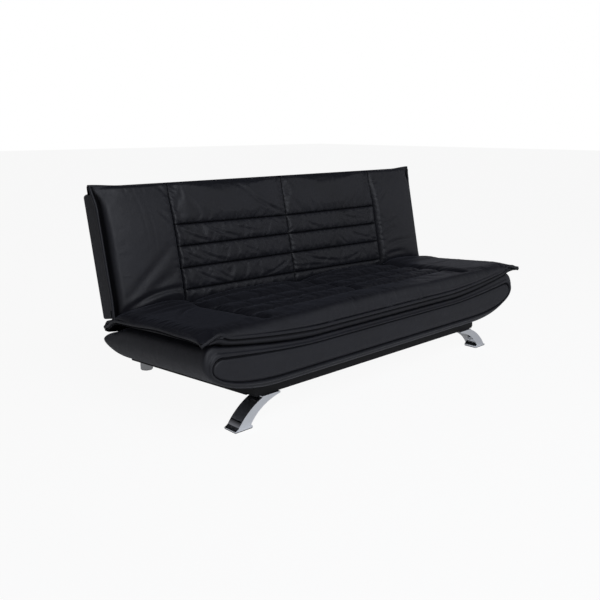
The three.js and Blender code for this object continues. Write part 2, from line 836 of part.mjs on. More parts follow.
function backUpper(x, y, u, edge) {
  const near = (back_pad_side_half_length * (1 - Math.abs(u))) / back_pad_round_radius;
  const top = (back_pad_top_height - y) / back_pad_round_radius;
  const foot = (y - back_foot_height) / (back_pad_round_radius * back_edge_shares.foot_round);
  const swell = [near, top, foot]
    .map((share) => quarterRound(Math.max(least_round_share, share)))
    .reduce((product, value) => product * value);
  const head = smooth((y - back_pad_head_height) / (back_pad_top_height - back_pad_head_height));
  const crown = mix(back_pad_crown_depth, back_pad_head_crown_depth, head);
  const corner = Math.hypot(back_pad_half_length - Math.abs(x), back_pad_tip_height - y);
  const pinch = mix(tip_flat_share, 1, smooth(corner / pad_tip_pinch_length));
  const within = smooth((panel_seam_half - Math.abs(x)) / seam_width);
  let depth = Math.max(
    tuck(Math.abs(x) - panel_seam_half, seam_width, back_seam_depth),
    tuck(x, seam_width, back_seam_depth),
  );
  for (const line of back_channel_heights) {
    depth = Math.max(depth, tuck(y - line, channel_width, back_channel_depth) * within);
  }
  const sunk = Math.min(back_seam_depth, back_middle_drop_depth * within + depth);
  return mix(edge, crown, swell * pinch) - sunk * clamped(top) * clamped(near);
}

// The pad lies against the board; over the board's top it thins to its fin
function backLower(x, y) {
  if (y <= board_top_height) return board_front_depth + soft_gap;
  const over = (y - board_top_height) / back_pad_over_board;
  return mix(board_front_depth, back_pad_top_edge_depth - back_pad_fin_thickness, over);
}

const back_pad = pillow(pad_column_shares, back_row_shares, backPlace, backUpper, backLower);
back_pad.rotateX(Math.PI / 2);
addPiece(upright, "back_pad", back_pad, leather);

// Ratchet hinges, drawn on the right-hand side. From the middle out: seat arm, back arm, bracket.
const boltHole = (y, z, radius) =>
  solidOf(barAlongX(radius, 0, overrun, y, z, small_round_segments));
const hubHole = () => boltHole(0, 0, hub_bolt_radius + bolt_clearance);
const plate = (shape, from) => solidOf(plateAcrossX(shape, from, from + plate_thickness));
const disc = (y, z, radius) => new THREE.Shape().absarc(y, z, radius, 0, Math.PI * 2, false);
const outlineOf = (corners) => new THREE.Shape(corners.map(([y, z]) => new THREE.Vector2(y, z)));

// The seat arm's strip meets its hub along these shares of the hub's radius
const arm_root_shares = { heel: 0.6, rear: 0.7, crest_back: 0.2, crest: 0.9 };

function seatArm() {
  const low = seat_tube_low + (seat_tube_height - seat_arm_height) / 2;
  const high = low + seat_arm_height;
  const pawl_front = -pawl_setback - pawl_boss_radius;
  const root = arm_root_shares;
  const strip = outlineOf([
    [-seat_arm_length, low],
    [-hub_radius * root.heel, low],
    [hub_radius * root.rear, -hub_radius * root.heel],
    [-hub_radius * root.crest_back, hub_radius * root.crest],
    [pawl_front, pawl_boss_radius / 2 - pawl_drop],
    [pawl_front, high],
    [-seat_arm_length, high],
  ]);
  const stud = solidOf(
    barAlongX(
      pawl_pin_radius,
      seat_arm_from,
      back_arm_from + plate_thickness,
      -pawl_setback,
      -pawl_drop,
      small_round_segments,
    ),
  );
  const boss = plate(disc(-pawl_setback, -pawl_drop, pawl_boss_radius), seat_arm_from);
  return geometryOf(
    plate(disc(0, 0, hub_radius), seat_arm_from)
      .add(plate(strip, seat_arm_from))
      .subtract(hubHole())
      .add(boss)
      .add(stud),
  );
}
addPair(sloped, "seat_arm", seatArm(), steel);

// The back arm carries the ratchet plate, with a notch for each position of the back
function backArm() {
  const half = back_arm_width / 2;
  const strip = outlineOf([
    [-half, 0],
    [half, 0],
    [half, back_arm_length],
    [-half, back_arm_length],
  ]);
  let arm = plate(disc(0, 0, ratchet_radius), back_arm_from)
    .add(plate(strip, back_arm_from))
    .subtract(hubHole());
  const pawl_angle = Math.atan2(-pawl_drop, -pawl_setback);
  for (const step of ratchet_steps) {
    const angle = pawl_angle + (step + back_lean_angle - seat_slope_angle) * degree;
    const [y, z] = [ratchet_radius * Math.cos(angle), ratchet_radius * Math.sin(angle)];
    arm = arm.subtract(boltHole(y, z, ratchet_notch_radius));
  }
  return geometryOf(arm);
}
addPair(upright, "back_arm", backArm(), steel);

// The pawl stands just off the ratchet plate, on the seat arm's stud, with a lever to lift it by
function pawl() {
  const [y, z] = [-pawl_setback, -pawl_drop];
  const distance = Math.hypot(y, z);
  const tip = (ratchet_radius + fit_gap + pawl_nose_radius) / distance;
  const [nose_y, nose_z] = [y * tip, z * tip];
  const side_y = (-z / distance) * pawl_nose_radius;
  const side_z = (y / distance) * pawl_nose_radius;
  const bar = outlineOf([
    [y + side_y, z + side_z],
    [nose_y + side_y, nose_z + side_z],
    [nose_y - side_y, nose_z - side_z],
    [y - side_y, z - side_z],
  ]);
  const lever = outlineOf([
    [y, z - pawl_nose_radius],
    [y, z + pawl_nose_radius],
    [y - 2 * pawl_boss_radius, z + pawl_nose_radius / 2],
    [y - 2 * pawl_boss_radius, z - pawl_nose_radius],
  ]);
  const boss = disc(y, z, pawl_boss_radius - pawl_pin_radius);
  const nose = disc(nose_y, nose_z, pawl_nose_radius);
  return geometryOf(
    [boss, nose, lever]
      .reduce((solid, shape) => solid.add(plate(shape, back_arm_from)), plate(bar, back_arm_from))
      .subtract(boltHole(y, z, pawl_pin_radius + bolt_clearance)),
  );
}
addPair(sloped, "pawl", pawl(), zinc);

// Base frame
const base_top = -boat_keel_drop - bumper_height;
const base_low = base_top - base_tube_height;

function hubBracket() {
  const neck = bracket_neck_width / 2;
  const foot = bracket_foot_length / 2;
  const strip = outlineOf([
    [-neck, 0],
    [-neck, base_top + neck],
    [-foot, base_top],
    [-foot, base_low],
    [foot, base_low],
    [foot, base_top],
    [neck, base_top + neck],
    [neck, 0],
  ]);
  const solid = plate(disc(0, 0, hub_radius), bracket_from).add(plate(strip, bracket_from));
  return geometryOf(solid.subtract(hubHole()));
}
addPair(sloped, "hinge_bracket", hubBracket(), steel);

// Hub bolt with its head outside the bracket and its nut inside the seat arm
function hubBolt() {
  const head_from = bracket_from + plate_pitch;
  const head_to = head_from + hub_bolt_head_thickness;
  const nut_to = seat_arm_from - fit_gap;
  const nut_from = nut_to - hub_bolt_head_thickness;
  const shank = barAlongX(hub_bolt_radius, nut_from, head_to, 0, 0, small_round_segments);
  const head = barAlongX(hub_bolt_head_radius, head_from, head_to, 0, 0, 6);
  const nut = barAlongX(hub_bolt_head_radius, nut_from, nut_to, 0, 0, 6);
  return geometryOf(solidOf(shank).add(solidOf(head)).add(solidOf(nut)));
}
addPair(sloped, "hub_bolt", hubBolt(), zinc);

// The front tube lies along X with its far lower corners eased
function frontTube() {
  const [half, round] = [base_half_length, tube_end_radius];
  const shape = outlineOf([
    [-half, base_low + round],
    [-half + round, base_low],
    [half - round, base_low],
    [half, base_low + round],
    [half, base_top],
    [-half, base_top],
  ]);
  const geometry = new THREE.ExtrudeGeometry(shape, { depth: base_tube_width, bevelEnabled: false });
  geometry.rotateX(Math.PI / 2);
  return solidOf(geometry.translate(0, -base_front_reach + base_tube_width, 0));
}
const leg_top_inner = base_half_length - leg_top_inset;
const leg_middle = -base_front_reach - leg_front_setback + leg_width / 2;
const leg_bolt_half_spacing = leg_top_inner + leg_bolt_inset;
const boltBar = (radius, from, to, segments) =>
  solidOf(barAlongZ(radius, from, to, leg_bolt_half_spacing, leg_middle, segments));
const bolt_room = boltBar(leg_bolt_radius + bolt_clearance, -overrun, overrun, small_round_segments);
const front_tube = frontTube().subtract(bolt_room).subtract(bolt_room.mirror([1, 0, 0]));
addPiece(sloped, "base_front_tube", geometryOf(front_tube), steel);

// The rear tube lies over the rear legs, which stand as far behind the origin as the pad's
// front tips reach before it
const rear_leg_y = -worldY(-pad_reach, pad_side_edge_height) - rear_leg_radius;
const rear_tube_middle = (rear_leg_y - hub_setback - base_low * Math.sin(slope)) / Math.cos(slope);
const base_rear_reach = rear_tube_middle + base_tube_width / 2;
const tubes_from = -base_front_reach + base_tube_width + fit_gap;
addPair(
  sloped,
  "base_side_tube",
  block([side_tube_inner, tubes_from, base_low], [base_half_length, base_rear_reach, base_top]),
  steel,
);
addPiece(
  sloped,
  "base_rear_tube",
  block(
    [-side_tube_inner + fit_gap, base_rear_reach - base_tube_width, base_low],
    [side_tube_inner - fit_gap, base_rear_reach, base_top],
  ),
  steel,
);
addPiece(
  sloped,
  "base_middle_tube",
  block(
    [-side_tube_width / 2, tubes_from, base_low],
    [side_tube_width / 2, base_rear_reach - base_tube_width - fit_gap, base_top],
  ),
  steel,
);
const bumper = barAlongZ(
  bumper_radius,
  base_top + fit_gap,
  -boat_keel_drop - fit_gap,
  bumper_half_spacing,
  -base_front_reach + base_tube_width / 2,
  small_round_segments,
);
addPair(sloped, "seat_bumper", bumper, rubber);

// What lies above the underside of the base's tubes, in the standing frame
const sloped_place = new THREE.Matrix4()
  .makeRotationX(-slope)
  .setPosition(0, hub_setback, hub_height).elements;
const above_tubes = solidBlock(
  [-overrun, -overrun, base_low - fit_gap],
  [overrun, overrun, overrun],
).transform(sloped_place);

// The front leg's outline, as shares of its run from its inner top end to its toe and of its
// rise from the glide to the tube: each curve has a guide point and an end point
const leg_toe_shares = [1, 0.03];
const leg_outer_shares = [
  [[0.954, 0.065], [0.922, 0.123]],
  [[0.862, 0.316], [0.766, 0.495]],
  [[0.606, 0.81], [0.404, 0.98]],
];
const leg_inner_shares = [[[0.456, 0.768], [0.665, 0.123]]];
const leg_inner_top_share = 0.96;
const leg_heel_shares = [[0.628, 0.06], [0.628, 0]];

// Front leg: a swept blade with a flared foot, as wide as leg_width from front to rear
const leg_toe = base_half_length + leg_toe_flare_length;
const leg_run = leg_toe - leg_top_inner;
const leg_foot = glide_height + fit_gap;
const leg_rise = worldZ(leg_middle, base_low) - leg_foot;
const legPoint = ([run, rise]) => [leg_top_inner + leg_run * run, leg_foot + leg_rise * rise];

function frontLeg() {
  const shape = new THREE.Shape();
  const follow = (curves) =>
    curves.forEach(([guide, end]) => shape.quadraticCurveTo(...legPoint(guide), ...legPoint(end)));
  const top_outer_share = leg_outer_shares[leg_outer_shares.length - 1][1][0];
  shape.moveTo(leg_toe, leg_foot);
  shape.lineTo(...legPoint(leg_toe_shares));
  follow(leg_outer_shares);
  shape.lineTo(...legPoint([top_outer_share, 1 + leg_inner_top_share]));
  shape.lineTo(...legPoint([0, 1 + leg_inner_top_share]));
  shape.lineTo(...legPoint([0, leg_inner_top_share]));
  follow(leg_inner_shares);
  for (const point of leg_heel_shares) shape.lineTo(...legPoint(point));
  const geometry = new THREE.ExtrudeGeometry(shape, {
    depth: leg_width,
    bevelEnabled: false,
    curveSegments: 10,
  });
  geometry.rotateX(Math.PI / 2);
  geometry.translate(0, worldY(leg_middle, base_low) + leg_width / 2, 0);
  const pilot_room = boltBar(
    leg_bolt_radius + bolt_clearance,
    base_low - leg_bolt_depth,
    overrun,
    small_round_segments,
  );
  return solidOf(geometry).subtract(above_tubes).subtract(pilot_room.transform(sloped_place));
}
addPair(sofa, "front_leg", geometryOf(frontLeg()), chrome);

const leg_bolt_top = base_top + fit_gap;
const leg_bolt = boltBar(
  leg_bolt_radius,
  base_low - leg_bolt_depth + fit_gap,
  leg_bolt_top,
  small_round_segments,
).add(boltBar(leg_bolt_head_radius, leg_bolt_top, leg_bolt_top + leg_bolt_head_height, 6));
addPair(sloped, "leg_bolt", geometryOf(leg_bolt), zinc);

const leg_y = worldY(leg_middle, base_low);
const leg_heel = legPoint(leg_heel_shares[0])[0];
addPair(
  sofa,
  "front_glide",
  block(
    [leg_heel + glide_inset, leg_y - leg_width / 2 + glide_inset, 0],
    [leg_toe - glide_inset, leg_y + leg_width / 2 - glide_inset, glide_height],
  ),
  rubber,
);

const roundLeg = (radius, from, to) =>
  barAlongZ(radius, from, to, base_half_length - rear_leg_inset, rear_leg_y, round_segments);
const rear_leg = solidOf(roundLeg(rear_leg_radius, leg_foot, hub_height)).subtract(above_tubes);
addPair(sofa, "rear_leg", geometryOf(rear_leg), chrome);
addPair(sofa, "rear_glide", roundLeg(rear_glide_radius, 0, glide_height), rubber);

export default sofa;
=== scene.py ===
"""A click clack sofa bed in black leather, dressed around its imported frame.

The seat and the back are pillow-top pads on a boat-shaped seat shell and an upholstered board.
They turn on two ratchet hinges over a base of black steel tube with chromed legs.
Metres, +X along the sofa, -Y to the front, +Z up, the floor at Z = 0.
"""

from __future__ import annotations

import json
import logging
import math
from dataclasses import dataclass, field
from enum import Enum
from typing import Any, ClassVar, Iterable, Sequence

import bpy
import numpy as np
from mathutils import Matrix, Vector

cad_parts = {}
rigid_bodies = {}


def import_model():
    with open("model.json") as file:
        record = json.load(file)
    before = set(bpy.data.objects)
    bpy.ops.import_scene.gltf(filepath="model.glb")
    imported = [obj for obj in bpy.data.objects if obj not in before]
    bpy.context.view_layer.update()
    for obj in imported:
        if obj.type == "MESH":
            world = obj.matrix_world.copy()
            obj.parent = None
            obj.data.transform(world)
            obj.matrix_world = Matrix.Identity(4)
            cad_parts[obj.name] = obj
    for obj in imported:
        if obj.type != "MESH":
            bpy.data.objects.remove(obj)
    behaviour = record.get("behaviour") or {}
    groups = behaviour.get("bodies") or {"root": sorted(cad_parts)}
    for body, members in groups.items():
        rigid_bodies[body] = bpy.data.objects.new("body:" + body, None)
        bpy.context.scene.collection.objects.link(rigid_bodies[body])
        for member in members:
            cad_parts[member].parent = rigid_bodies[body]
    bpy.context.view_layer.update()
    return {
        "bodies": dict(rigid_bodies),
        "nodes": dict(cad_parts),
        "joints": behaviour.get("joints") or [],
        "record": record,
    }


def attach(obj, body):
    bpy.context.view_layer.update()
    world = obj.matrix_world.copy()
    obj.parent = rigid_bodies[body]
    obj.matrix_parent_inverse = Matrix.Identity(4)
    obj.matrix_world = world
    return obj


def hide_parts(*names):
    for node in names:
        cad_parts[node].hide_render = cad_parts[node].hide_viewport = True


LOG = logging.getLogger("sofa")

Colour = tuple[float, float, float]
Place = tuple[float, float]
Point = tuple[float, float, float]
Box = tuple[Point, Point]
Array = np.ndarray

# A colour Mix node's sockets
MIX_INPUTS = (0, 6, 7)
MIX_OUTPUT = 2

WHITE = (1.0, 1.0, 1.0)
BLACK = (0.0, 0.0, 0.0)


class Body(Enum):
    """The bodies of the frame that the sewn pieces ride on."""

    SEAT = "seat"
    BACK = "back"


class Slot(Enum):
    """The record's material slots."""

    LEATHER = "leather"
    STEEL = "frame_steel"
    ZINC = "zinc"
    CHROME = "chrome"
    RUBBER = "rubber"
    TIMBER = "timber"
    FOAM = "foam"
    FELT = "felt"


# Shader expressions


class Wire:
    """A number's socket that adds a Math node for each operator used on it."""

    def __init__(self, recipe: "Recipe", socket: bpy.types.NodeSocket) -> None:
        """Wraps one output socket of a recipe."""
        self.recipe = recipe
        self.socket = socket

    def _math(self, operation: str, first: Any, second: Any = None) -> "Wire":
        """Adds one Math node.

        Args:
            operation: the node's operation.
            first: its first value or wire.
            second: its second value or wire.

        Returns:
            The wire of its result.
        """
        values = {0: first} if second is None else {0: first, 1: second}
        return self.recipe.wire("ShaderNodeMath", {"operation": operation}, values)

    def __add__(self, other: Any) -> "Wire":
        """Sum."""
        return self._math("ADD", self, other)

    __radd__ = __add__

    def __sub__(self, other: Any) -> "Wire":
        """Difference."""
        return self._math("SUBTRACT", self, other)

    def __rsub__(self, other: Any) -> "Wire":
        """Difference from a value."""
        return self._math("SUBTRACT", other, self)

    def __mul__(self, other: Any) -> "Wire":
        """Product."""
        return self._math("MULTIPLY", self, other)

    def clamped(self) -> "Wire":
        """The value kept between 0 and 1."""
        return self._math("MINIMUM", self._math("MAXIMUM", self, 0.0), 1.0)


class Recipe:
    """A node tree under construction, of a material or of geometry nodes."""

    def __init__(self, tree: bpy.types.NodeTree) -> None:
        """Starts from an emptied tree."""
        self.tree = tree
        self.tree.nodes.clear()

    def node(
        self, kind: str, settings: dict[str, Any] | None = None, values: dict[Any, Any] | None = None
    ) -> bpy.types.Node:
        """Adds a node, sets it up and feeds its sockets.

        Args:
            kind: the node's type.
            settings: its properties.
            values: a value, wire or socket for each input, by name or number.

        Returns:
            The node.
        """
        made = self.tree.nodes.new(kind)
        for name, value in (settings or {}).items():
            setattr(made, name, value)
        for name, value in (values or {}).items():
            source = value.socket if isinstance(value, Wire) else value
            if isinstance(source, bpy.types.NodeSocket):
                self.tree.links.new(source, made.inputs[name])
            else:
                made.inputs[name].default_value = source
        return made

    def wire(
        self,
        kind: str,
        settings: dict[str, Any] | None = None,
        values: dict[Any, Any] | None = None,
        output: Any = 0,
    ) -> Wire:
        """Adds a node and wraps one of its outputs."""
        return Wire(self, self.node(kind, settings, values).outputs[output])

    def place(self, stretch: Sequence[float] = (1.0, 1.0, 1.0)) -> bpy.types.NodeSocket:
        """Object coordinates in metres, stretched along the axes."""
        place = self.node("ShaderNodeTexCoord").outputs["Object"]
        return self.node("ShaderNodeMapping", None, {"Vector": place, "Scale": stretch}).outputs[0]

    def noise(
        self, scale: float, detail: float = 3.0, rough: float = 0.5, place: Any = None
    ) -> Wire:
        """A cloudy value between 0 and 1, with scale clouds to the metre."""
        values = {"Scale": scale, "Detail": detail, "Roughness": rough}
        values["Vector"] = self.place() if place is None else place
        return self.wire("ShaderNodeTexNoise", None, values)

    def cells(self, scale: float) -> Wire:
        """The distance from the edges of leather's pebbled cells."""
        values = {"Scale": scale, "Randomness": 1.0, "Vector": self.place()}
        return self.wire("ShaderNodeTexVoronoi", {"feature": "DISTANCE_TO_EDGE"}, values)

    def blend(self, share: Any, first: Any, second: Any) -> bpy.types.NodeSocket:
        """Mixes two colours, each a colour or a socket."""
        colours = [(*given, 1.0) if isinstance(given, tuple) else given for given in (first, second)]
        values = dict(zip(MIX_INPUTS, (share, *colours)))
        return self.node("ShaderNodeMix", {"data_type": "RGBA"}, values).outputs[MIX_OUTPUT]

    def bump(self, height: Any, depth: float, under: Any = None) -> bpy.types.NodeSocket:
        """A normal pushed by a height of so many metres."""
        values = {"Height": height, "Distance": depth, "Strength": 1.0}
        if under is not None:
            values["Normal"] = under
        return self.node("ShaderNodeBump", None, values).outputs[0]

    def principled(self, values: dict[str, Any]) -> bpy.types.NodeSocket:
        """A Principled shader."""
        return self.node("ShaderNodeBsdfPrincipled", None, values).outputs[0]

    def shader_mix(self, share: Any, first: Any, second: Any) -> bpy.types.NodeSocket:
        """Mixes two shaders."""
        return self.node("ShaderNodeMixShader", None, {0: share, 1: first, 2: second}).outputs[0]

    def surface(self, shader: bpy.types.NodeSocket) -> None:
        """Ends a material's tree in a shader."""
        self.node("ShaderNodeOutputMaterial", None, {"Surface": shader})


def new_material(name: str) -> tuple[bpy.types.Material, Recipe]:
    """An empty node material and its recipe."""
    material = bpy.data.materials.new(name)
    material.use_nodes = True
    return material, Recipe(material.node_tree)


@dataclass(frozen=True)
class Leather:
    """Black upholstery leather: pebbled grain, soft colour drift, and a painted shade of matte black in its
    seams and grooves.
    """

    name: str = "black_leather"
    deep: Colour = (0.0080, 0.0083, 0.0110)
    worn: Colour = (0.0140, 0.0146, 0.0200)
    # The black painted into seams, grooves and gaps as their shade
    shade: Colour = (0.0008, 0.0008, 0.0010)
    roughness: float = 0.42
    specular: float = 0.42
    drift_scale: float = 4.5
    patch_scale: float = 28.0
    grain_scale: float = 620.0
    grain_depth: float = 0.00016
    wrinkle_scale: float = 34.0
    wrinkle_depth: float = 0.0011
    painted_shade_share: float = 0.92
    sheen: Colour = (0.75, 0.8, 1.0)

    def material(self) -> bpy.types.Material:
        """Builds the finish."""
        material, recipe = new_material(self.name)
        drift = recipe.noise(self.drift_scale, 4.0)
        patch = recipe.noise(self.patch_scale)
        share = (drift * 1.4 + patch * 0.6 - 0.55).clamped()
        grain = (recipe.cells(self.grain_scale) * 2.2).clamped()
        pores = recipe.noise(self.grain_scale * 2.6, 2.0)
        soft = recipe.noise(self.wrinkle_scale, 5.0, 0.55, recipe.place((1.0, 1.7, 1.0)))
        normal = recipe.bump(soft, self.wrinkle_depth)
        hide = recipe.principled(
            {
                "Base Color": recipe.blend(share, self.deep, self.worn),
                "Roughness": self.roughness + (1 - grain) * 0.10 + (patch - 0.5) * 0.16,
                "Normal": recipe.bump(grain + pores * 0.35, self.grain_depth, normal),
                "Specular IOR Level": self.specular,
                "Sheen Weight": 0.06,
                "Sheen Roughness": 0.4,
                "Sheen Tint": (*self.sheen, 1.0),
            }
        )
        # Painted shade: a black matte shader is mixed in where the seam attribute marks seams, grooves and
        # gaps that fall in shade
        seam = recipe.wire("ShaderNodeAttribute", {"attribute_name": "seam"}, output="Fac")
        painted_shade_values = {"Base Color": (*self.shade, 1.0), "Roughness": 1.0, "Specular IOR Level": 0.0}
        crevice = recipe.principled(painted_shade_values)
        recipe.surface(recipe.shader_mix(seam * self.painted_shade_share, hide, crevice))
        return material


@dataclass(frozen=True)
class Metal:
    """A metal finish: plating or powder coat, with faint smears and scuffs."""

    name: str
    colour: Colour
    dull: Colour
    metallic: float
    roughness: float
    smear: float
    dimple_depth: float = 0.0
    specular: float = 0.25
    cloud_scale: float = 11.0
    scuff_scale: float = 90.0
    dimple_scale: float = 900.0

    def material(self) -> bpy.types.Material:
        """Builds the finish."""
        material, recipe = new_material(self.name)
        cloud = recipe.noise(self.cloud_scale, 4.0)
        scuff = recipe.noise(self.scuff_scale, 3.0, 0.6, recipe.place((1.0, 1.0, 0.25)))
        values: dict[str, Any] = {
            "Base Color": recipe.blend((cloud * 1.6 - 0.3).clamped(), self.colour, self.dull),
            "Roughness": self.roughness + (cloud - 0.5) * self.smear + scuff * self.smear * 0.4,
            "Metallic": self.metallic,
            "Specular IOR Level": self.specular,
        }
        if self.dimple_depth:
            values["Normal"] = recipe.bump(recipe.noise(self.dimple_scale, 2.0), self.dimple_depth)
        recipe.surface(recipe.principled(values))
        return material


@dataclass(frozen=True)
class Timber:
    """Pale plywood slats with lengthwise figure."""

    name: str = "slat_wood"
    early: Colour = (0.52, 0.36, 0.19)
    late: Colour = (0.36, 0.22, 0.10)
    figure_scale: float = 60.0
    pore_scale: float = 900.0
    pore_depth: float = 0.0002

    def material(self) -> bpy.types.Material:
        """Builds the finish."""
        material, recipe = new_material(self.name)
        figure = recipe.noise(self.figure_scale, 5.0, 0.6, recipe.place((0.06, 1.0, 1.0)))
        pores = recipe.noise(self.pore_scale, 2.0, 0.5, recipe.place((0.08, 1.0, 1.0)))
        values = {
            "Base Color": recipe.blend((figure * 1.5 - 0.2).clamped(), self.early, self.late),
            "Roughness": 0.55 + pores * 0.2,
            "Normal": recipe.bump(pores, self.pore_depth),
        }
        recipe.surface(recipe.principled(values))
        return material


@dataclass(frozen=True)
class Soft:
    """A matte soft or rubbery finish with a fine texture: foam, felt or rubber."""

    name: str
    colour: Colour
    shade: Colour
    roughness: float
    texture_scale: float
    texture_depth: float
    cloud_scale: float = 16.0

    def material(self) -> bpy.types.Material:
        """Builds the finish."""
        material, recipe = new_material(self.name)
        cloud = recipe.noise(self.cloud_scale, 4.0)
        texture = recipe.noise(self.texture_scale, 4.0, 0.7)
        values = {
            "Base Color": recipe.blend(cloud, self.colour, self.shade),
            "Roughness": self.roughness + (texture - 0.5) * 0.1,
            "Normal": recipe.bump(texture, self.texture_depth),
        }
        recipe.surface(recipe.principled(values))
        return material


class Wardrobe:
    """Every finish of the sofa, by the record's slot."""

    def __init__(self) -> None:
        """Builds the finishes once."""
        chrome = Metal("polished_chrome", (0.90, 0.92, 0.95), (0.84, 0.86, 0.90), 1.0, 0.05, 0.05)
        coat = (0.005, 0.005, 0.006), (0.009, 0.009, 0.010)
        steel = Metal("black_powder_coat", *coat, 0.0, 0.52, 0.14, 0.00012)
        zinc = Metal("zinc_plate", (0.52, 0.53, 0.55), (0.42, 0.42, 0.43), 1.0, 0.34, 0.2)
        rubber = Soft("black_rubber", (0.011, 0.011, 0.012), (0.02, 0.02, 0.021), 0.75, 700.0, 0.0002)
        foam = Soft("foam_deck", (0.70, 0.63, 0.40), (0.62, 0.54, 0.33), 0.95, 420.0, 0.0012)
        felt = Soft("black_felt", (0.012, 0.012, 0.013), (0.024, 0.024, 0.026), 0.95, 800.0, 0.0008)
        finishes = {
            Slot.LEATHER: Leather(),
            Slot.CHROME: chrome,
            Slot.STEEL: steel,
            Slot.ZINC: zinc,
            Slot.RUBBER: rubber,
            Slot.TIMBER: Timber(),
            Slot.FOAM: foam,
            Slot.FELT: felt,
        }
        self.by_slot = {slot: finish.material() for slot, finish in finishes.items()}

    def dress(self, piece: bpy.types.Object, slot: Slot) -> None:
        """Gives a piece the finish of a slot."""
        piece.data.materials.clear()
        piece.data.materials.append(self.by_slot[slot])


# Shapes


def clamped(share: Any) -> Any:
    """A share kept between 0 and 1."""
    return np.clip(share, 0.0, 1.0)


def smooth(share: Any) -> Any:
    """An eased step from 0 to 1."""
    held = clamped(share)
    return held * held * (3.0 - 2.0 * held)


def ramp(value: Any, start: float, run: float) -> Any:
    """An eased step that starts at a value and ends a run further on."""
    return smooth((value - start) / run)


def bell(value: Any, middle: float, width: float) -> Any:
    """A bell curve of height 1."""
    return np.exp(-(((value - middle) / width) ** 2))


def mix(first: Any, second: Any, share: Any) -> Any:
    """The value a share of the way from first to second."""
    return first + (second - first) * share


def quarter_round(share: Any) -> Any:
    """A quarter circle's height at a share of its run."""
    return np.sqrt(1.0 - (1.0 - clamped(share)) ** 2)


def pillow_edge(distance: Any, turn: float, broad: float, share: float) -> Any:
    """A pillow's swell at a distance from its edge: a tight turn, then a broad rise.

    Args:
        distance: the distance from the edge.
        turn: the tight turn's run.
        broad: the broad rise's run.
        share: the tight turn's share of the height.

    Returns:
        The swell, from 0 to 1.
    """
    rise = 1 - (1 - clamped(distance / broad)) ** 2
    return share * quarter_round(distance / turn) + (1 - share) * rise


@dataclass(frozen=True)
class Tilt:
    """A frame at the hinge axis that leans back by an angle."""

    hinge: Vector
    angle: float

    def world(self, points: Array) -> Array:
        """Turns points of this frame into points of the room."""
        cosine, sine = math.cos(self.angle), math.sin(self.angle)
        x, y, z = points[..., 0], points[..., 1], points[..., 2]
        turned = np.stack([x, y * cosine + z * sine, z * cosine - y * sine], -1)
        return turned + np.array(self.hinge)


def make_mesh(
    name: str,
    points: Array,
    faces: Iterable[Sequence[int]],
    shade_smooth: bool = True,
    edges: Sequence[tuple[int, int]] = (),
) -> bpy.types.Object:
    """A mesh object at the origin.

    Args:
        name: the piece's name.
        points: its corners in the room's frame.
        faces: the corners of each face, anticlockwise from outside.
        shade_smooth: whether it is shaded smooth.
        edges: the corners of each edge that no face has.

    Returns:
        The object, linked to the scene.
    """
    mesh = bpy.data.meshes.new(name)
    mesh.from_pydata(np.asarray(points, float).reshape(-1, 3).tolist(), list(edges), list(faces))
    mesh.update()
    mesh.polygons.foreach_set("use_smooth", np.full(len(mesh.polygons), shade_smooth))
    made = bpy.data.objects.new(name, mesh)
    bpy.context.scene.collection.objects.link(made)
    return made


def points_of(mesh: bpy.types.Mesh) -> Array:
    """A mesh's corners as an array."""
    flat = np.empty(len(mesh.vertices) * 3, np.float32)
    mesh.vertices.foreach_get("co", flat)
    return flat.reshape(-1, 3).astype(float)


def set_attribute(piece: bpy.types.Object, name: str, values: Array) -> None:
    """Writes one number for each corner of a mesh."""
    attribute = piece.data.attributes.new(name, "FLOAT", "POINT")
    attribute.data.foreach_set("value", np.asarray(values, np.float32).ravel())


def finished(piece: bpy.types.Object) -> bpy.types.Object:
    """Replaces a piece's modifiers by the mesh that they make."""
    bpy.context.view_layer.update()
    graph = bpy.context.evaluated_depsgraph_get()
    mesh = bpy.data.meshes.new_from_object(piece.evaluated_get(graph))
    piece.modifiers.clear()
    piece.data = mesh
    return piece


@dataclass(frozen=True)
class Fold:
    """A crease in a cover: a curved line through three places, as wide and deep as given."""

    start: Place
    bend: Place
    end: Place
    depth: float
    width: float
    ridge: float = 0.45
    reach_widths: ClassVar[float] = 4.0
    crest_widths: ClassVar[float] = 1.9
    far_crest_share: ClassVar[float] = 0.55
    steps: ClassVar[int] = 14

    def sink(self, x: Array, y: Array) -> Array:
        """How far the crease sinks the cover at each place."""
        reach = self.reach_widths * self.width
        spots = np.array([self.start, self.bend, self.end])
        low, high = spots.min(0) - reach, spots.max(0) + reach
        near = (x > low[0]) & (x < high[0]) & (y > low[1]) & (y < high[1])
        sunk = np.zeros_like(x)
        if not near.any():
            return sunk
        px, py = x[near], y[near]
        best = np.full(px.shape, 1e9)
        side = np.zeros(px.shape)
        along = np.zeros(px.shape)
        line = [self._at(i / self.steps) for i in range(self.steps + 1)]
        for i, ((ax, ay), (bx, by)) in enumerate(zip(line, line[1:])):
            dx, dy = bx - ax, by - ay
            length = max(dx * dx + dy * dy, 1e-12)
            share = clamped(((px - ax) * dx + (py - ay) * dy) / length)
            qx, qy = px - ax - share * dx, py - ay - share * dy
            distance = np.hypot(qx, qy)
            closer = distance < best
            best = np.where(closer, distance, best)
            side = np.where(closer, np.sign(dx * qy - dy * qx), side)
            along = np.where(closer, (i + share) / self.steps, along)
        taper = np.sin(np.pi * clamped(along * 0.92 + 0.04)) ** 0.7
        spread = best / self.width
        valley = np.exp(-(spread**2))
        crest = np.exp(-((spread - self.crest_widths) ** 2) / 1.2)
        crest = crest * np.where(side > 0, 1.0, self.far_crest_share)
        sunk[near] = self.depth * taper * (valley - self.ridge * crest)
        return sunk

    def _at(self, share: float) -> Place:
        """The place a share of the way along the line."""
        near, mid, far = (1 - share) ** 2, 2 * share * (1 - share), share**2
        return (
            near * self.start[0] + mid * self.bend[0] + far * self.end[0],
            near * self.start[1] + mid * self.bend[1] + far * self.end[1],
        )


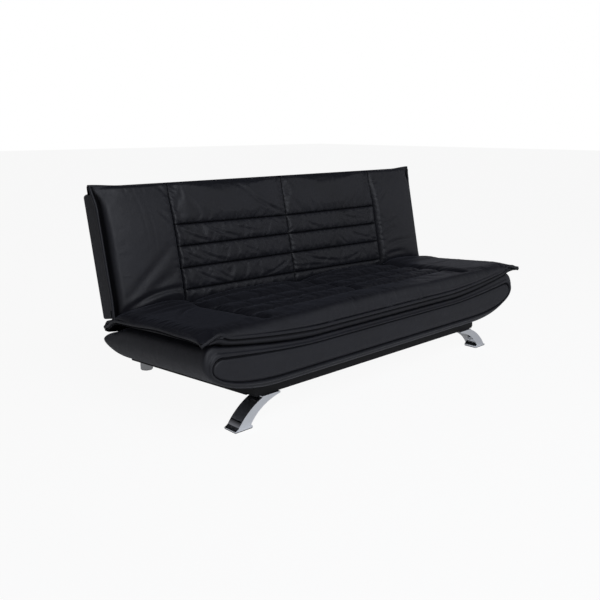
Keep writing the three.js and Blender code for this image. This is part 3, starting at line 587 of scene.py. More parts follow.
BEARING_GAP = 0.0006
PUCKER_WIDTH = 0.0055
PUCKER_CLEARANCE = 0.002


def puckers(
    seed: int, start: Place, end: Place, count: int, reach: float, depth: float, slant: float = 0.5
) -> list[Fold]:
    """Small creases that fan out from a sewn line, to its left as seen from its start.

    Args:
        seed: what picks their places, the same on each run.
        start: one end of the line.
        end: its other end.
        count: how many creases.
        reach: how long they are, about.
        depth: how deep they are, about.
        slant: how far they lean along the line, in reaches.

    Returns:
        The creases.
    """
    chance = np.random.default_rng(seed)
    along = np.array(end) - np.array(start)
    away = np.array((-along[1], along[0])) / np.linalg.norm(along)
    ahead = along / np.linalg.norm(along)
    made = []
    for i in range(count):
        share = (i + 0.5 + chance.uniform(-0.35, 0.35)) / count
        length = reach * chance.uniform(0.55, 1.35)
        lean = slant * chance.uniform(0.2, 1.3) * (1 if chance.random() < 0.8 else -1)
        root = np.array(start) + along * share + away * PUCKER_CLEARANCE
        tip = root + length * (away + lean * ahead)
        bend = (root + tip) / 2 + ahead * length * chance.uniform(-0.12, 0.12)
        deep = depth * chance.uniform(0.6, 1.3)
        made.append(Fold(tuple(root), tuple(bend), tuple(tip), deep, PUCKER_WIDTH))
    return made


# One point of a pad's border: its place outwards from the seam, its height from the seam's
# centre, both in welt radii, its share of the way down to what the pad lies on, and its painted
# shade, dark in the welt's grooves and the gap under the pad where shade falls
BorderPoint = tuple[float, float, float, float]


@dataclass
class Pad:
    """A pillow-top pad: a crowned cover sewn to a welt all round, a band below it, an underside.

    It is drawn flat: x across, y along its other side, and height away from what it lies on.
    """

    name: str
    nodes: tuple[str, ...]
    body: Body
    tilt: Tilt
    half: float
    side_half: float
    near: float
    far: float
    welt: float = 0.0058
    spacing: float = 0.0056
    border: tuple[BorderPoint, ...] = (
        (-1.45, -0.60, 0.0, 1.0),
        (-0.95, 0.25, 0.0, 0.8),
        (-0.60, 0.95, 0.0, 0.2),
        (0.00, 1.25, 0.0, 0.0),
        (0.60, 0.90, 0.0, 0.0),
        (0.98, 0.15, 0.0, 0.0),
        (0.80, -0.65, 0.0, 0.1),
        (0.05, -1.15, 0.0, 0.7),
        (-0.70, -1.15, 0.0, 1.0),
        (-0.30, -1.6, 0.12, 0.6),
        (0.20, -1.2, 0.38, 0.0),
        (0.10, -0.6, 0.68, 0.5),
        (-0.80, 0.0, 0.92, 1.0),
        (-2.6, 0.0, 0.97, 1.0),
        (-5.5, 0.0, 1.0, 1.0),
    )
    puff: float = 1.6
    slack: float = 0.016
    cap: float = 0.010
    frames: int = 20
    grip_width: float = 0.011
    painted_shade_width: float = 0.0026
    pinch_run: float = 0.12
    pinch_share: float = 0.2
    seams: tuple[float, float, float] = (-0.630, 0.0, 0.606)
    folds: list[Fold] = field(default_factory=list)

    def past_seam(self, x: Array) -> Array:
        """How far each place is beyond the outer seams, less than zero between them."""
        left, _, right = self.seams
        return np.where(x < 0, left - x, x - right)

    def widened(self, u: Array, spread: Array) -> Array:
        """The places across, spread towards the drawn-out tips."""
        return u * (self.side_half + (self.half - self.side_half) * spread * np.abs(u) ** 6)

    def pinch(self, x: Array, drop: Array) -> Array:
        """How full the cover is near a drawn-out tip, from the drop to the tip's edge."""
        corner = np.hypot(self.half - np.abs(x), drop)
        return mix(self.pinch_share, 1.0, smooth(corner / self.pinch_run))

    def plan(self, u: Array, v: Array) -> tuple[Array, Array]:
        """Where the cover's grid lies, seen from above."""
        raise NotImplementedError

    def edge(self, x: Array, u: Array, v: Array) -> Array:
        """The height of the welt's centre along the outer seam."""
        raise NotImplementedError

    def rest(self, x: Array, y: Array) -> Array:
        """The height of what the pad lies on."""
        raise NotImplementedError

    def cover(self, x: Array, y: Array, u: Array, v: Array) -> Array:
        """The cover's height."""
        raise NotImplementedError

    def held_back(self, x: Array, y: Array, height: Array) -> Array:
        """The cover's height where a neighbour leaves it less room."""
        return height

    def give(self, x: Array, y: Array) -> Array:
        """How much of the cloth's own motion shows at each place."""
        raise NotImplementedError

    def seam_distance(self, x: Array, y: Array) -> Array:
        """How far each place is from the nearest sewn line."""
        raise NotImplementedError

    def to_room(self, x: Array, y: Array, height: Array) -> Array:
        """Stands the pad's points up in the room."""
        raise NotImplementedError

    def shell(self, u: Array, v: Array) -> tuple[Array, list[Sequence[int]], Array]:
        """The pad's points, faces and how deep each point lies in the painted shade of a seam.

        Args:
            u: the columns' shares across, from -1 to 1.
            v: the rows' shares along, from 0 to 1.

        Returns:
            Points as x, y and height, faces, and painted shades.
        """
        grid_u, grid_v = np.meshgrid(u, v)
        x, y = self.plan(grid_u, grid_v)
        height = self.cover(x, y, grid_u, grid_v)
        for fold in self.folds:
            height -= fold.sink(x, y)
        height = self.held_back(x, y, height)
        i, j = border_loop(len(u), len(v))
        bx, by = x[j, i], y[j, i]
        edge = self.edge(bx, grid_u[j, i], grid_v[j, i])
        run_x, run_y = np.roll(bx, -1) - np.roll(bx, 1), np.roll(by, -1) - np.roll(by, 1)
        length = np.hypot(run_x, run_y)
        out_x, out_y = run_y / length, -run_x / length
        floor = self.rest(bx, by)
        rings = []
        for out, up, down, _ in self.border:
            level = mix(edge + up * self.welt, floor, down)
            ring = [bx + out_x * (out - 1) * self.welt, by + out_y * (out - 1) * self.welt, level]
            rings.append(np.stack(ring, -1))
        cap = np.stack([x, y, height], -1)
        cap[j, i] = rings[0]
        inset = (1 - self.border[-1][0]) * self.welt
        middle = (self.near + self.far) / 2
        x = x * (1 - inset / self.half)
        y = middle + (y - middle) * (1 - inset / (self.far - middle))
        back = np.stack([x, y, self.rest(x, y)], -1)[1:-1, 1:-1]
        points, faces = closed_skin(cap, rings[1:], back)
        # Painted shade: black near seams, channels and grooves, and on the border's grooved and tucked
        # rings, where shade falls
        shade = np.ones(len(points))
        top = len(u) * len(v)
        distance = self.seam_distance(points[:top, 0], points[:top, 1])
        shade[:top] = bell(distance, 0.0, self.painted_shade_width)
        shade[j * len(u) + i] = self.border[0][3]
        for k, point in enumerate(self.border[1:]):
            shade[top + k * len(i) : top + (k + 1) * len(i)] = point[3]
        return points, faces, shade

    def lines(self) -> list[float]:
        """The channels' places along the pad."""
        raise NotImplementedError

    def marks(self) -> tuple[list[float], list[float]]:
        """The shares across and along at which the cover is sewn, ends and all."""
        columns = [x / self.side_half for x in self.seams]
        rows = [(line - self.near) / (self.far - self.near) for line in self.lines()]
        return [-1.0, *columns, 1.0], [0.0, *rows, 1.0]

    def shares(self) -> tuple[Array, Array]:
        """The grid's shares across and along, closer together at the sewn lines."""
        across, along = self.marks()
        u = clustered(across, self.spacing / self.half)
        return u, clustered(along, self.spacing / (self.far - self.near))

    def swell(self, u: Array, v: Array) -> Array:
        """Inflates the cover as cloth held by its seams, and gives how far each point moved."""
        points, faces, _ = self.shell(u, v)
        cloth = make_mesh(self.name + "_cloth", points, faces)
        hold = cloth.vertex_groups.new(name="hold")
        grip = np.ones(len(points))
        top = len(u) * len(v)
        distance = self.seam_distance(points[:top, 0], points[:top, 1])
        grip[:top] = bell(distance, 0.0, self.grip_width)
        i, j = border_loop(len(u), len(v))
        grip[j * len(u) + i] = 1.0
        for level in np.linspace(0.1, 1.0, 10):
            chosen = np.nonzero(np.abs(grip - level) <= 0.05)[0]
            hold.add(chosen.tolist(), float(level), "REPLACE")
        modifier = cloth.modifiers.new("cloth", "CLOTH")
        settings = modifier.settings
        settings.quality = 5
        settings.mass = 0.35
        settings.tension_stiffness = settings.compression_stiffness = 18.0
        settings.shear_stiffness = 6.0
        settings.bending_stiffness = 2.5
        settings.air_damping = 3.0
        settings.use_pressure = True
        settings.uniform_pressure_force = self.puff
        settings.shrink_min = -self.slack
        settings.vertex_group_mass = "hold"
        settings.effector_weights.gravity = 0.0
        modifier.collision_settings.use_collision = False
        scene = bpy.context.scene
        modifier.point_cache.frame_end = self.frames
        for frame_number in range(1, self.frames + 1):
            scene.frame_set(frame_number)
        graph = bpy.context.evaluated_depsgraph_get()
        moved = points_of(cloth.evaluated_get(graph).data) - points
        scene.frame_set(1)
        bpy.data.objects.remove(cloth)
        size = np.linalg.norm(moved, axis=1, keepdims=True)
        moved *= np.minimum(1.0, self.cap / np.maximum(size, 1e-9))
        return moved[:top].reshape(len(v), len(u), 3)

    def trim(self, piece: bpy.types.Object) -> None:
        """Cuts what the pad leaves open."""

    def build(self, wardrobe: Wardrobe) -> bpy.types.Object:
        """Makes the pad, dresses it and puts it on its body."""
        u, v = self.shares()
        points, faces, shade = self.shell(u, v)
        moved = refined(self.swell(u[::2], v[::2])).reshape(-1, 3)
        share = self.give(points[: len(moved), 0], points[: len(moved), 1])
        points[: len(moved)] += moved * share[:, None]
        top = slice(0, len(u) * len(v))
        points[top, 2] = self.held_back(points[top, 0], points[top, 1], points[top, 2])
        piece = make_mesh(self.name, self.to_room(*points.T), faces)
        # The painted shade feeds the leather's black crevice shader
        set_attribute(piece, "seam", shade)
        self.trim(piece)
        wardrobe.dress(piece, Slot.LEATHER)
        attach(piece, self.body.value)
        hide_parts(*self.nodes)
        LOG.info("%s: %d faces", self.name, len(faces))
        return piece


FINE_STEP_SHARES = (1.0, 1.25, 1.7, 2.4, 3.2)


def clustered(marks: Sequence[float], spacing: float, finest: float = 0.22) -> Array:
    """Shares from the first mark to the last, closer together at each mark.

    Args:
        marks: the places that get a share of their own, in order.
        spacing: the distance between shares far from a mark.
        finest: the distance beside a mark, as a share of the spacing.

    Returns:
        The shares, with an even number of steps between marks.
    """
    fine = finest * np.array(FINE_STEP_SHARES)
    made = [np.array(marks[:1])]
    for low, high in zip(marks, marks[1:]):
        room = (high - low) / spacing - 2 * fine.sum()
        middle = np.ones(max(2, 2 * int(room / 2 + 0.5)))
        steps = np.concatenate([fine, middle, fine[::-1]])
        made.append(low + (high - low) * np.cumsum(steps) / steps.sum())
    return np.concatenate(made)


THREAD_PULL_WIDTH = 0.0048
CREVICE_WIDTH = 0.0036
FLANK_SHARE = 0.72


def sewn_down(
    height: Array, floor: float, distance: Array, run: float, inner_run: float, share: Any
) -> Array:
    """A cover drawn down to a floor along a sewn line.

    Args:
        height: the cover's height.
        floor: the height at the thread.
        distance: the distance from the line, less than zero on its inner side.
        run: how far the pillow's flank reaches on the outer side.
        inner_run: how far it reaches on the inner side.
        share: how much of it holds at each place.

    Returns:
        The cover's height after it.
    """
    flank = (1 - clamped(np.abs(distance) / np.where(distance < 0, inner_run, run))) ** 2.1
    pull = mix(bell(distance, 0.0, THREAD_PULL_WIDTH), flank, FLANK_SHARE) * share
    return height - np.maximum(height - floor, 0.0) * pull


def sewn_in(distance: Array, pillow: float, run: float, crevice: float) -> Array:
    """How far a sewn line sinks a cover: a soft pillow's flank and a narrow crevice.

    Args:
        distance: the distance from the line.
        pillow: the depth of the flank.
        run: how far the flank reaches.
        crevice: the further depth right at the thread.

    Returns:
        How far the cover sinks.
    """
    flank = pillow * (1 - clamped(np.abs(distance) / run)) ** 2.2
    return flank + crevice * bell(distance, 0.0, CREVICE_WIDTH)


def quads(a: Array, b: Array, c: Array, d: Array) -> Array:
    """Four-cornered faces from four arrays of corners."""
    return np.stack([a, b, c, d], -1).reshape(-1, 4)


def refined(values: Array) -> Array:
    """Doubles a grid's rows and columns with smooth values in between."""
    for axis in (0, 1):
        values = np.moveaxis(values, axis, 0)
        before = np.concatenate([values[:1], values[:-2]])
        after = np.concatenate([values[2:], values[-1:]])
        middle = (9 * (values[:-1] + values[1:]) - before - after) / 16
        made = np.empty((2 * len(values) - 1, *values.shape[1:]))
        made[::2], made[1::2] = values, middle
        values = np.moveaxis(made, 0, axis)
    return values


@dataclass(frozen=True)
class Boat:
    """The boat's outline in the seat's frame: a level rim that curves up to both ends."""

    half: float = 0.957
    reach: float = 0.623
    rear: float = 0.066
    rim_drop: float = 0.005
    rim_rise: float = 0.055
    flat_half: float = 0.450
    rim_end: float = 0.912
    sink_reach: float = 0.110
    sink_share: float = 0.75
    tip_drop: float = 0.010
    keel_drop: float = 0.147
    keel_half: float = 0.620
    heel_reach: float = 0.080

    def rim(self, x: Array, y: Any) -> Array:
        """The rim's height."""
        rise = clamped((np.abs(x) - self.flat_half) / (self.rim_end - self.flat_half)) ** 1.5
        sink = smooth((y + self.sink_reach) / (self.sink_reach + self.rear))
        return -self.rim_drop + self.rim_rise * rise * (1 - self.sink_share * sink)

    def top(self, x: Array, y: Any) -> Array:
        """The rim, rounded down to the tips past its ends."""
        across = clamped((np.abs(x) - self.rim_end) / (self.half - self.rim_end))
        return mix(-self.tip_drop, self.rim(x, y), np.sqrt(1 - across**2))

    def bottom(self, x: Array, y: Any) -> Array:
        """The keel and the curve from it up to the tips."""
        across = clamped((np.abs(x) - self.keel_half) / (self.half - self.keel_half))
        rise = (self.keel_drop - self.tip_drop) * (1 - np.sqrt(1 - across**2))
        lift = np.sqrt(1 - np.clip(y / self.heel_reach, 0, 1) ** 2)
        return np.minimum((-self.keel_drop + rise) * lift, -self.tip_drop * lift)


def border_loop(columns: int, rows: int) -> tuple[Array, Array]:
    """The columns and rows of a grid's border, anticlockwise from its first corner."""
    loop = [(i, 0) for i in range(columns)]
    loop += [(columns - 1, j) for j in range(1, rows)]
    loop += [(i, rows - 1) for i in range(columns - 2, -1, -1)]
    loop += [(0, j) for j in range(rows - 2, 0, -1)]
    i, j = np.array(loop).T
    return i, j


def closed_skin(cap: Array, rings: Sequence[Array], back: Array) -> tuple[Array, list[Any]]:
    """Closes a body from a cap, rings round its sides and a cap behind.

    Args:
        cap: rows by columns of points; its border is the first ring.
        rings: the further rings, each point in line with the border's.
        back: the points inside the last ring, in the cap's order.

    Returns:
        Points and faces.
    """
    rows, columns = cap.shape[:2]
    i, j = border_loop(columns, rows)
    count = len(i)
    boundary = j * columns + i
    starts = [rows * columns + k * count for k in range(len(rings))]
    loops = [boundary] + [start + np.arange(count) for start in starts]
    inner = np.full((rows, columns), -1)
    last = starts[-1] + count
    inner[1:-1, 1:-1] = last + np.arange((rows - 2) * (columns - 2)).reshape(rows - 2, columns - 2)
    inner[j, i] = loops[-1]
    outer = np.arange(rows * columns).reshape(rows, columns)
    faces = [quads(outer[:-1, :-1], outer[:-1, 1:], outer[1:, 1:], outer[1:, :-1])]
    for above, below in zip(loops, loops[1:]):
        faces.append(quads(above, below, np.roll(below, -1), np.roll(above, -1)))
    faces.append(quads(inner[:-1, :-1], inner[1:, :-1], inner[1:, 1:], inner[:-1, 1:]))
    points = np.concatenate([cap.reshape(-1, 3), *rings, back.reshape(-1, 3)])
    return points, np.concatenate(faces).tolist()


# One ring of a board body: its depth, its inset from the outline, and its painted shade
Ring = tuple[float, float, float]


@dataclass
class Shell:
    """An upholstered board body: an outline drawn out from front to rear with soft edges."""

    name: str
    nodes: tuple[str, ...]
    body: Body
    tilt: Tilt
    half: float
    front: float
    rear: float
    edge_radius: float
    stations: int = 261
    rows: int = 25
    depth_step: float = 0.009

    def outline(self, x: Array, y: float) -> tuple[Array, Array]:
        """The bottom and the top of the outline at a depth."""
        raise NotImplementedError

    def front_rings(self) -> list[Ring]:
        """The rings across the front face, from the middle outwards."""
        return []

    def profile(self) -> list[Ring]:
        """The rings from front to rear."""
        turn = np.radians(np.linspace(0, 90, 6))
        round_run = self.edge_radius * (1 - np.cos(turn))
        round_in = self.edge_radius * (1 - np.sin(turn))
        near = [(self.front + run, inset, 0.0) for run, inset in zip(round_run, round_in)]
        far = [(self.rear - run, inset, 0.0) for run, inset in zip(round_run[::-1], round_in[::-1])]
        count = int((self.rear - self.front) / self.depth_step)
        middle = np.linspace(near[-1][0], far[0][0], count)[1:-1]
        return self.front_rings() + near + [(y, 0.0, 0.0) for y in middle] + far

    def grid(self, y: float, inset: float) -> Array:
        """The outline's inside at a depth, as rows by stations."""
        x = self.half * np.sin(np.linspace(-1, 1, self.stations) * math.pi / 2)
        bottom, top = self.outline(x, y)
        z = mix(bottom, top, np.linspace(0, 1, self.rows)[:, None])
        low, high = float(bottom.min()), float(np.median(top))
        middle = (low + high) / 2
        z = middle + (z - middle) * (1 - inset / ((high - low) / 2))
        x = np.broadcast_to(x * (1 - inset / self.half), z.shape)
        return np.stack([x, np.full_like(z, y), z], -1)

    def build(self, wardrobe: Wardrobe) -> bpy.types.Object:
        """Makes the body, dresses it and puts it on its body of the frame."""
        profile = self.profile()
        cap = self.grid(*profile[0][:2])
        i, j = border_loop(self.stations, self.rows)
        rings = [self.grid(y, inset)[j, i] for y, inset, _ in profile[1:]]
        back = self.grid(*profile[-1][:2])[1:-1, 1:-1]
        points, faces = closed_skin(cap, rings, back)
        piece = make_mesh(self.name, self.tilt.world(points), faces)
        # Painted shade on the rings that the profile marks, such as the piping's crevice
        shade = np.zeros(len(points))
        ring_shades = [ring_shade for _, _, ring_shade in profile[1:]]
        start = self.rows * self.stations
        shade[start : start + len(ring_shades) * len(i)] = np.repeat(ring_shades, len(i))
        set_attribute(piece, "seam", shade)
        weld(piece)
        self.trim(piece)
        wardrobe.dress(piece, Slot.LEATHER)
        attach(piece, self.body.value)
        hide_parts(*self.nodes)
        LOG.info("%s: %d faces", self.name, len(piece.data.polygons))
        return piece

    def trim(self, piece: bpy.types.Object) -> None:
        """Cuts what the body leaves open."""


def weld(piece: bpy.types.Object) -> None:
    """Joins corners that fall together."""
    modifier = piece.modifiers.new("weld", "WELD")
    modifier.merge_threshold = 2e-5
    finished(piece)


def plate_slots(inner: float, outer: float, front: float, overrun: float) -> list[Box]:
    """The slots for the hinges' plates, one a side, open to the rear, the top and the bottom."""
    sides = ((-outer, -inner), (inner, outer))
    return [((low, front, -overrun), (high, overrun, overrun)) for low, high in sides]


def cut_boxes(piece: bpy.types.Object, tilt: Tilt, boxes: Sequence[Box]) -> None:
    """Cuts boxes out of a closed piece.

    Args:
        piece: the closed piece.
        tilt: the frame of the boxes.
        boxes: the low and the high corner of each box.
    """
    for low, high in boxes:
        corners = np.array([(x, y, z) for z in (0, 1) for y in (0, 1) for x in (0, 1)], float)
        corners = mix(np.array(low), np.array(high), corners)
        sides = [(0, 2, 3, 1), (4, 5, 7, 6), (0, 1, 5, 4), (2, 6, 7, 3), (0, 4, 6, 2), (1, 3, 7, 5)]
        cutter = make_mesh("cutter", tilt.world(corners), sides, shade_smooth=False)
        modifier = piece.modifiers.new("cut", "BOOLEAN")
        modifier.operation = "DIFFERENCE"
        modifier.solver = "MANIFOLD"
        modifier.object = cutter
        finished(piece)
        bpy.data.objects.remove(cutter)


def cord_nodes() -> bpy.types.NodeTree:
    """Geometry nodes that draw a round cord along a line of edges."""
    tree = bpy.data.node_groups.new("round_cord", "GeometryNodeTree")
    for name, kind in (("Line", "Geometry"), ("Radius", "Float"), ("Sides", "Int"), ("Finish", "Material")):
        tree.interface.new_socket(name, in_out="INPUT", socket_type="NodeSocket" + kind)
    tree.interface.new_socket("Cord", in_out="OUTPUT", socket_type="NodeSocketGeometry")
    recipe = Recipe(tree)
    given = recipe.node("NodeGroupInput").outputs
    line = recipe.node("GeometryNodeMeshToCurve", None, {"Mesh": given["Line"]}).outputs[0]
    section = {"Resolution": given["Sides"], "Radius": given["Radius"]}
    ring = recipe.node("GeometryNodeCurvePrimitiveCircle", {"mode": "RADIUS"}, section).outputs[0]
    cord = recipe.node("GeometryNodeCurveToMesh", None, {"Curve": line, "Profile Curve": ring}).outputs[0]
    cord = recipe.node("GeometryNodeRealizeInstances", None, {"Geometry": cord}).outputs[0]
    values = {"Geometry": cord, "Material": given["Finish"]}
    cord = recipe.node("GeometryNodeSetMaterial", None, values).outputs[0]
    recipe.node("NodeGroupOutput", None, {"Cord": cord})
    return tree


def round_cord(
    name: str, path: Array, radius: float, finish: bpy.types.Material, sides: int = 10
) -> bpy.types.Object:
    """A round cord along a closed path.

    Args:
        name: the piece's name.
        path: the path's points in the room's frame.
        radius: the cord's radius.
        finish: its material.
        sides: the corners of its section.

    Returns:
        The cord as a plain mesh.
    """
    count = len(path)
    edges = [(k, (k + 1) % count) for k in range(count)]
    piece = make_mesh(name, path, [], edges=edges)
    modifier = piece.modifiers.new("cord", "NODES")
    modifier.node_group = cord_nodes()
    values = {"Radius": radius, "Sides": sides, "Finish": finish}
    for socket in modifier.node_group.interface.items_tree:
        if socket.name in values:
            modifier[socket.identifier] = values[socket.name]
    finished(piece)
    piece.data.polygons.foreach_set("use_smooth", np.ones(len(piece.data.polygons), bool))
    return piece


@dataclass
class BoatShell(Shell):
    """The boat under the seat: a padded shell round the seat's frame, open at the top."""

    boat: Boat = field(default_factory=Boat)
    panel_inset: float = 0.031
    panel_reach: float = 0.026
    roll: float = 0.0075
    crown: float = 0.006
    # The piping's crevice rings, with the painted shade that darkens them
    crevice: tuple[Ring, ...] = (
        (0.0022, 0.0022, 0.5),
        (0.0052, 0.0008, 1.0),
        (0.0052, -0.0008, 1.0),
        (0.0016, -0.0022, 0.5),
    )
    piping_radius: float = 0.0026
    piping_sink: float = 0.0006
    piping_step: float = 0.004
    piping_painted_shade: float = 0.7
    inner_half: float = 0.690
    wall: float = 0.0435
    floor_top: float = -0.0746
    slot_front: float = -0.050
    slot_inner: float = 0.640
    overlap: float = 0.001
    overrun: float = 0.3

    def outline(self, x: Array, y: float) -> tuple[Array, Array]:
        """The boat's outline."""
        return self.boat.bottom(x, y), self.boat.top(x, y)

    def front_rings(self) -> list[Ring]:
        """A crowned panel, the crevice of its piping with painted shade in it, and a padded roll round it.
        """
        rings = []
        for share in np.linspace(1, 0, 9)[:-1]:
            depth = self.front - self.crown * (1 - (1 - share) ** 3)
            rings.append((depth, self.panel_inset + self.panel_reach * share, 0.0))
        for depth, inset, shade in self.crevice:
            rings.append((self.front + depth, self.panel_inset + inset, shade))
        for share in np.linspace(0, 1, 11)[1:-1]:
            inset = mix(self.panel_inset + self.crevice[-1][1], self.edge_radius, share)
            rings.append((self.front - self.roll * math.sin(math.pi * share) ** 0.7, inset, 0.0))
        return rings

    def piping_path(self) -> Array:
        """The line of the panel's piping on the front face."""
        grid = self.grid(self.front, self.panel_inset)
        i, j = border_loop(self.stations, self.rows)
        path = grid[j, i]
        path[:, 1] += self.piping_sink
        keep = [0]
        for k in range(1, len(path)):
            if np.linalg.norm(path[k] - path[keep[-1]]) > self.piping_step:
                keep.append(k)
        path = path[keep]
        for _ in range(3):
            path = (np.roll(path, 1, 0) + 2 * path + np.roll(path, -1, 0)) / 4
        return path

    def trim(self, piece: bpy.types.Object) -> None:
        """Opens the shell round the frame and slots it at the hinges."""
        low = (-self.inner_half, self.front + self.wall, self.floor_top)
        cavity = (low, (self.inner_half, self.slot_front, self.overrun))
        front = self.slot_front - self.overlap
        slots = plate_slots(self.slot_inner, self.inner_half, front, self.overrun)
        cut_boxes(piece, self.tilt, [cavity, *slots])

    def pipe(self, wardrobe: Wardrobe) -> bpy.types.Object:
        """The piping round the front panel."""
        path = self.tilt.world(self.piping_path())
        finish = wardrobe.by_slot[Slot.LEATHER]
        piece = round_cord("front_piping", path, self.piping_radius, finish)
        # Painted shade: the piping is darkened to look shaded in its crevice
        set_attribute(piece, "seam", np.full(len(piece.data.vertices), self.piping_painted_shade))
        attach(piece, self.body.value)
        return piece


@dataclass
class Board(Shell):
    """The upholstered board behind the back pad."""

    low: float = 0.0735
    high: float = 0.5735
    corner: float = 0.014
    foot_corner: float = 0.008

    def outline(self, x: Array, y: float) -> tuple[Array, Array]:
        """A rectangle with rounded corners."""
        cut = []
        for corner in (self.foot_corner, self.corner):
            across = clamped((np.abs(x) - self.half + corner) / corner)
            cut.append(corner * (1 - np.sqrt(1 - across**2)))
        return self.low + cut[0], self.high - cut[1]


@dataclass
class SeatPad(Pad):
    """The seat's pad: smooth wings and front, sewn channels in the rear, four drawn-out tips."""

    boat: Boat = field(default_factory=Boat)
    crown_height: float = 0.101
    side_edge: float = 0.078
    side_bow: float = 0.008
    front_edge: float = 0.029
    rear_edge: float = 0.012
    corner_rise: float = 0.024
    front_flat_half: float = 0.400
    tip_share: float = 0.16
    tip_overhang: float = 0.0100
    tip_droop: float = 0.010
    rear_pull: float = 1.3
    ear: float = 0.014
    ear_at: float = 0.895
    ear_width: float = 0.030
    fin: float = 0.002
    lift_run: float = 0.030
    side_round: float = 0.070
    front_round: float = 0.042
    rear_side_share: float = 0.5
    channels: tuple[float, ...] = (-0.460, -0.340, -0.220, -0.100)
    channel_form: Point = (0.011, 0.052, 0.0065)
    channel_fade: float = 0.03
    seam_floor: float = 0.070
    seam_from: float = -0.610
    seam_fade: float = 0.05
    seam_runs: Place = (0.060, 0.050)
    middle_floor: float = 0.082
    middle_from: float = -0.52
    middle_fade: float = 0.08
    middle_runs: Place = (0.045, 0.045)
    middle_ease: float = 0.004
    thread_from: float = -0.585
    rear_hold_share: float = 0.25
    nose_radius: float = 0.071
    nose_blend: float = 0.170
    base_swell: float = 0.012
    wing_swell: float = 0.024
    middle_swell: float = 0.020
    lean: float = math.radians(8)
    back_foot: float = 0.076
    back_edge: float = 0.048
    back_crown: float = 0.092
    clearance: float = 0.0055
    slot_inner: float = 0.640
    slot_outer: float = 0.690
    slot_front: float = -0.0405
    overrun: float = 0.2

    def plan(self, u: Array, v: Array) -> tuple[Array, Array]:
        """Spreads the sides towards the front tips and draws them in at the rear."""
        spread = smooth(1 - v / self.tip_share) - self.rear_pull * smooth(1 - (1 - v) / self.tip_share)
        tip = self.tip_overhang * ramp(np.abs(u), 0.88, 0.12)
        return self.widened(u, spread), mix(self.near - tip, self.far, v)

    def front_height(self, x: Array) -> Array:
        """The front seam's height, level in the middle and rising to the tips."""
        rise = clamped((np.abs(x) - self.front_flat_half) / (self.boat.rim_end - self.front_flat_half))
        return mix(self.front_edge, self.side_edge, rise**1.5)

    def side_height(self, v: Array) -> Array:
        """The side seam's height, falling to the rear corner."""
        return mix(self.side_edge, self.rear_edge + self.corner_rise, ramp(v, 0.8, 0.2))

    def edge(self, x: Array, u: Array, v: Array) -> Array:
        """Rises from the front's middle to the tips and falls to the rear."""
        front = self.front_height(x) + self.ear * bell(np.abs(x), self.ear_at, self.ear_width)
        front = front - self.tip_droop * ramp(np.abs(u), 0.955, 0.045)
        rear = self.rear_edge + self.corner_rise * ramp(np.abs(u), 0.6, 0.4)
        side = self.side_height(v) + self.side_bow * bell(v, 0.42, 0.16)
        side = side - self.tip_droop * smooth(1 - v / 0.05)
        return np.where(v == 0, front, np.where(v == 1, rear, side))

    def rest(self, x: Array, y: Array) -> Array:
        """The boat's rim, and thin air past its ends."""
        rim = self.boat.rim(x, y) + BEARING_GAP
        side = self.side_height((y - self.near) / (self.far - self.near))
        start = self.boat.rim_end - self.lift_run
        past = clamped((np.abs(x) - start) / (self.side_half - start)) ** 0.7
        return mix(rim, np.maximum(rim, side - self.fin - 2 * self.welt), past)

    def cover(self, x: Array, y: Array, u: Array, v: Array) -> Array:
        """The crowned top with its seams, channels and rounded rear."""
        side_round = self.side_round * mix(1.0, self.rear_side_share, ramp(y, -0.16, 0.12))
        front = (y - self.near) / self.front_round
        swell = quarter_round(self.side_half * (1 - np.abs(u)) / side_round) * quarter_round(front)
        low = mix(self.front_height(x), self.side_edge, smooth(front))
        height = mix(low, self.crown_height, swell * self.pinch(x, y - self.near))
        past = self.past_seam(x)
        for line in self.channels:
            sewn = sewn_in(y - line, *self.channel_form)
            height = height - sewn * ramp(-past, 0.0, self.channel_fade)
        rear_hold = mix(self.rear_hold_share, 1.0, ramp(-y, 0.075, 0.09))
        hold = ramp(y, self.seam_from, self.seam_fade) * rear_hold
        height = sewn_down(height, self.seam_floor, past, *self.seam_runs, hold)
        hold = ramp(y, self.middle_from, self.middle_fade) * rear_hold
        height = sewn_down(height, self.middle_floor, x, *self.middle_runs, hold)
        nose = np.sqrt(np.maximum(0.0, self.nose_radius**2 - np.maximum(0.0, y) ** 2))
        nose = mix(height, nose, ramp(y, -self.nose_blend, self.nose_blend))
        return np.minimum(height, nose) + self.swelling(x) * ramp(y, -0.20, 0.15) * ramp(-y, 0.0, 0.03)

    def give(self, x: Array, y: Array) -> Array:
        """Loose between the channels, tight over the wings and the front."""
        return mix(0.35, 0.75, ramp(y, -0.50, 0.10) * ramp(-self.past_seam(x), 0.0, 0.04))

    def swelling(self, x: Array) -> Array:
        """How far the pad is squeezed up in front of the back, between the seams."""
        past = self.past_seam(x)
        half = np.abs(x) - past
        wing = np.sin(np.pi * clamped(past / (self.half - half)) ** 0.6)
        middle = np.sin(np.pi * clamped(np.abs(x) / half))
        share = np.maximum(np.where(past > 0, wing, middle), 0.0) ** 0.8
        return self.base_swell + np.where(past > 0, self.wing_swell, self.middle_swell) * share

    def held_back(self, x: Array, y: Array, height: Array) -> Array:
        """Keeps the cover under the back pad's rounded foot."""
        cosine, sine = math.cos(self.lean), math.sin(self.lean)
        bulge = BackPad.foot_round(self.past_seam(x), x)
        room = height.copy()
        for _ in range(5):
            depth = room * sine - y * cosine
            share = clamped((depth - self.back_edge) / (self.back_crown - self.back_edge))
            low = self.back_foot + bulge * (1 - np.sqrt(1 - share**2)) - self.clearance
            low = np.where(depth >= self.back_crown, 1.0, low)
            room = np.minimum(height, (low - y * sine) / cosine)
        return room

    def lines(self) -> list[float]:
        """The channels' places."""
        return list(self.channels)

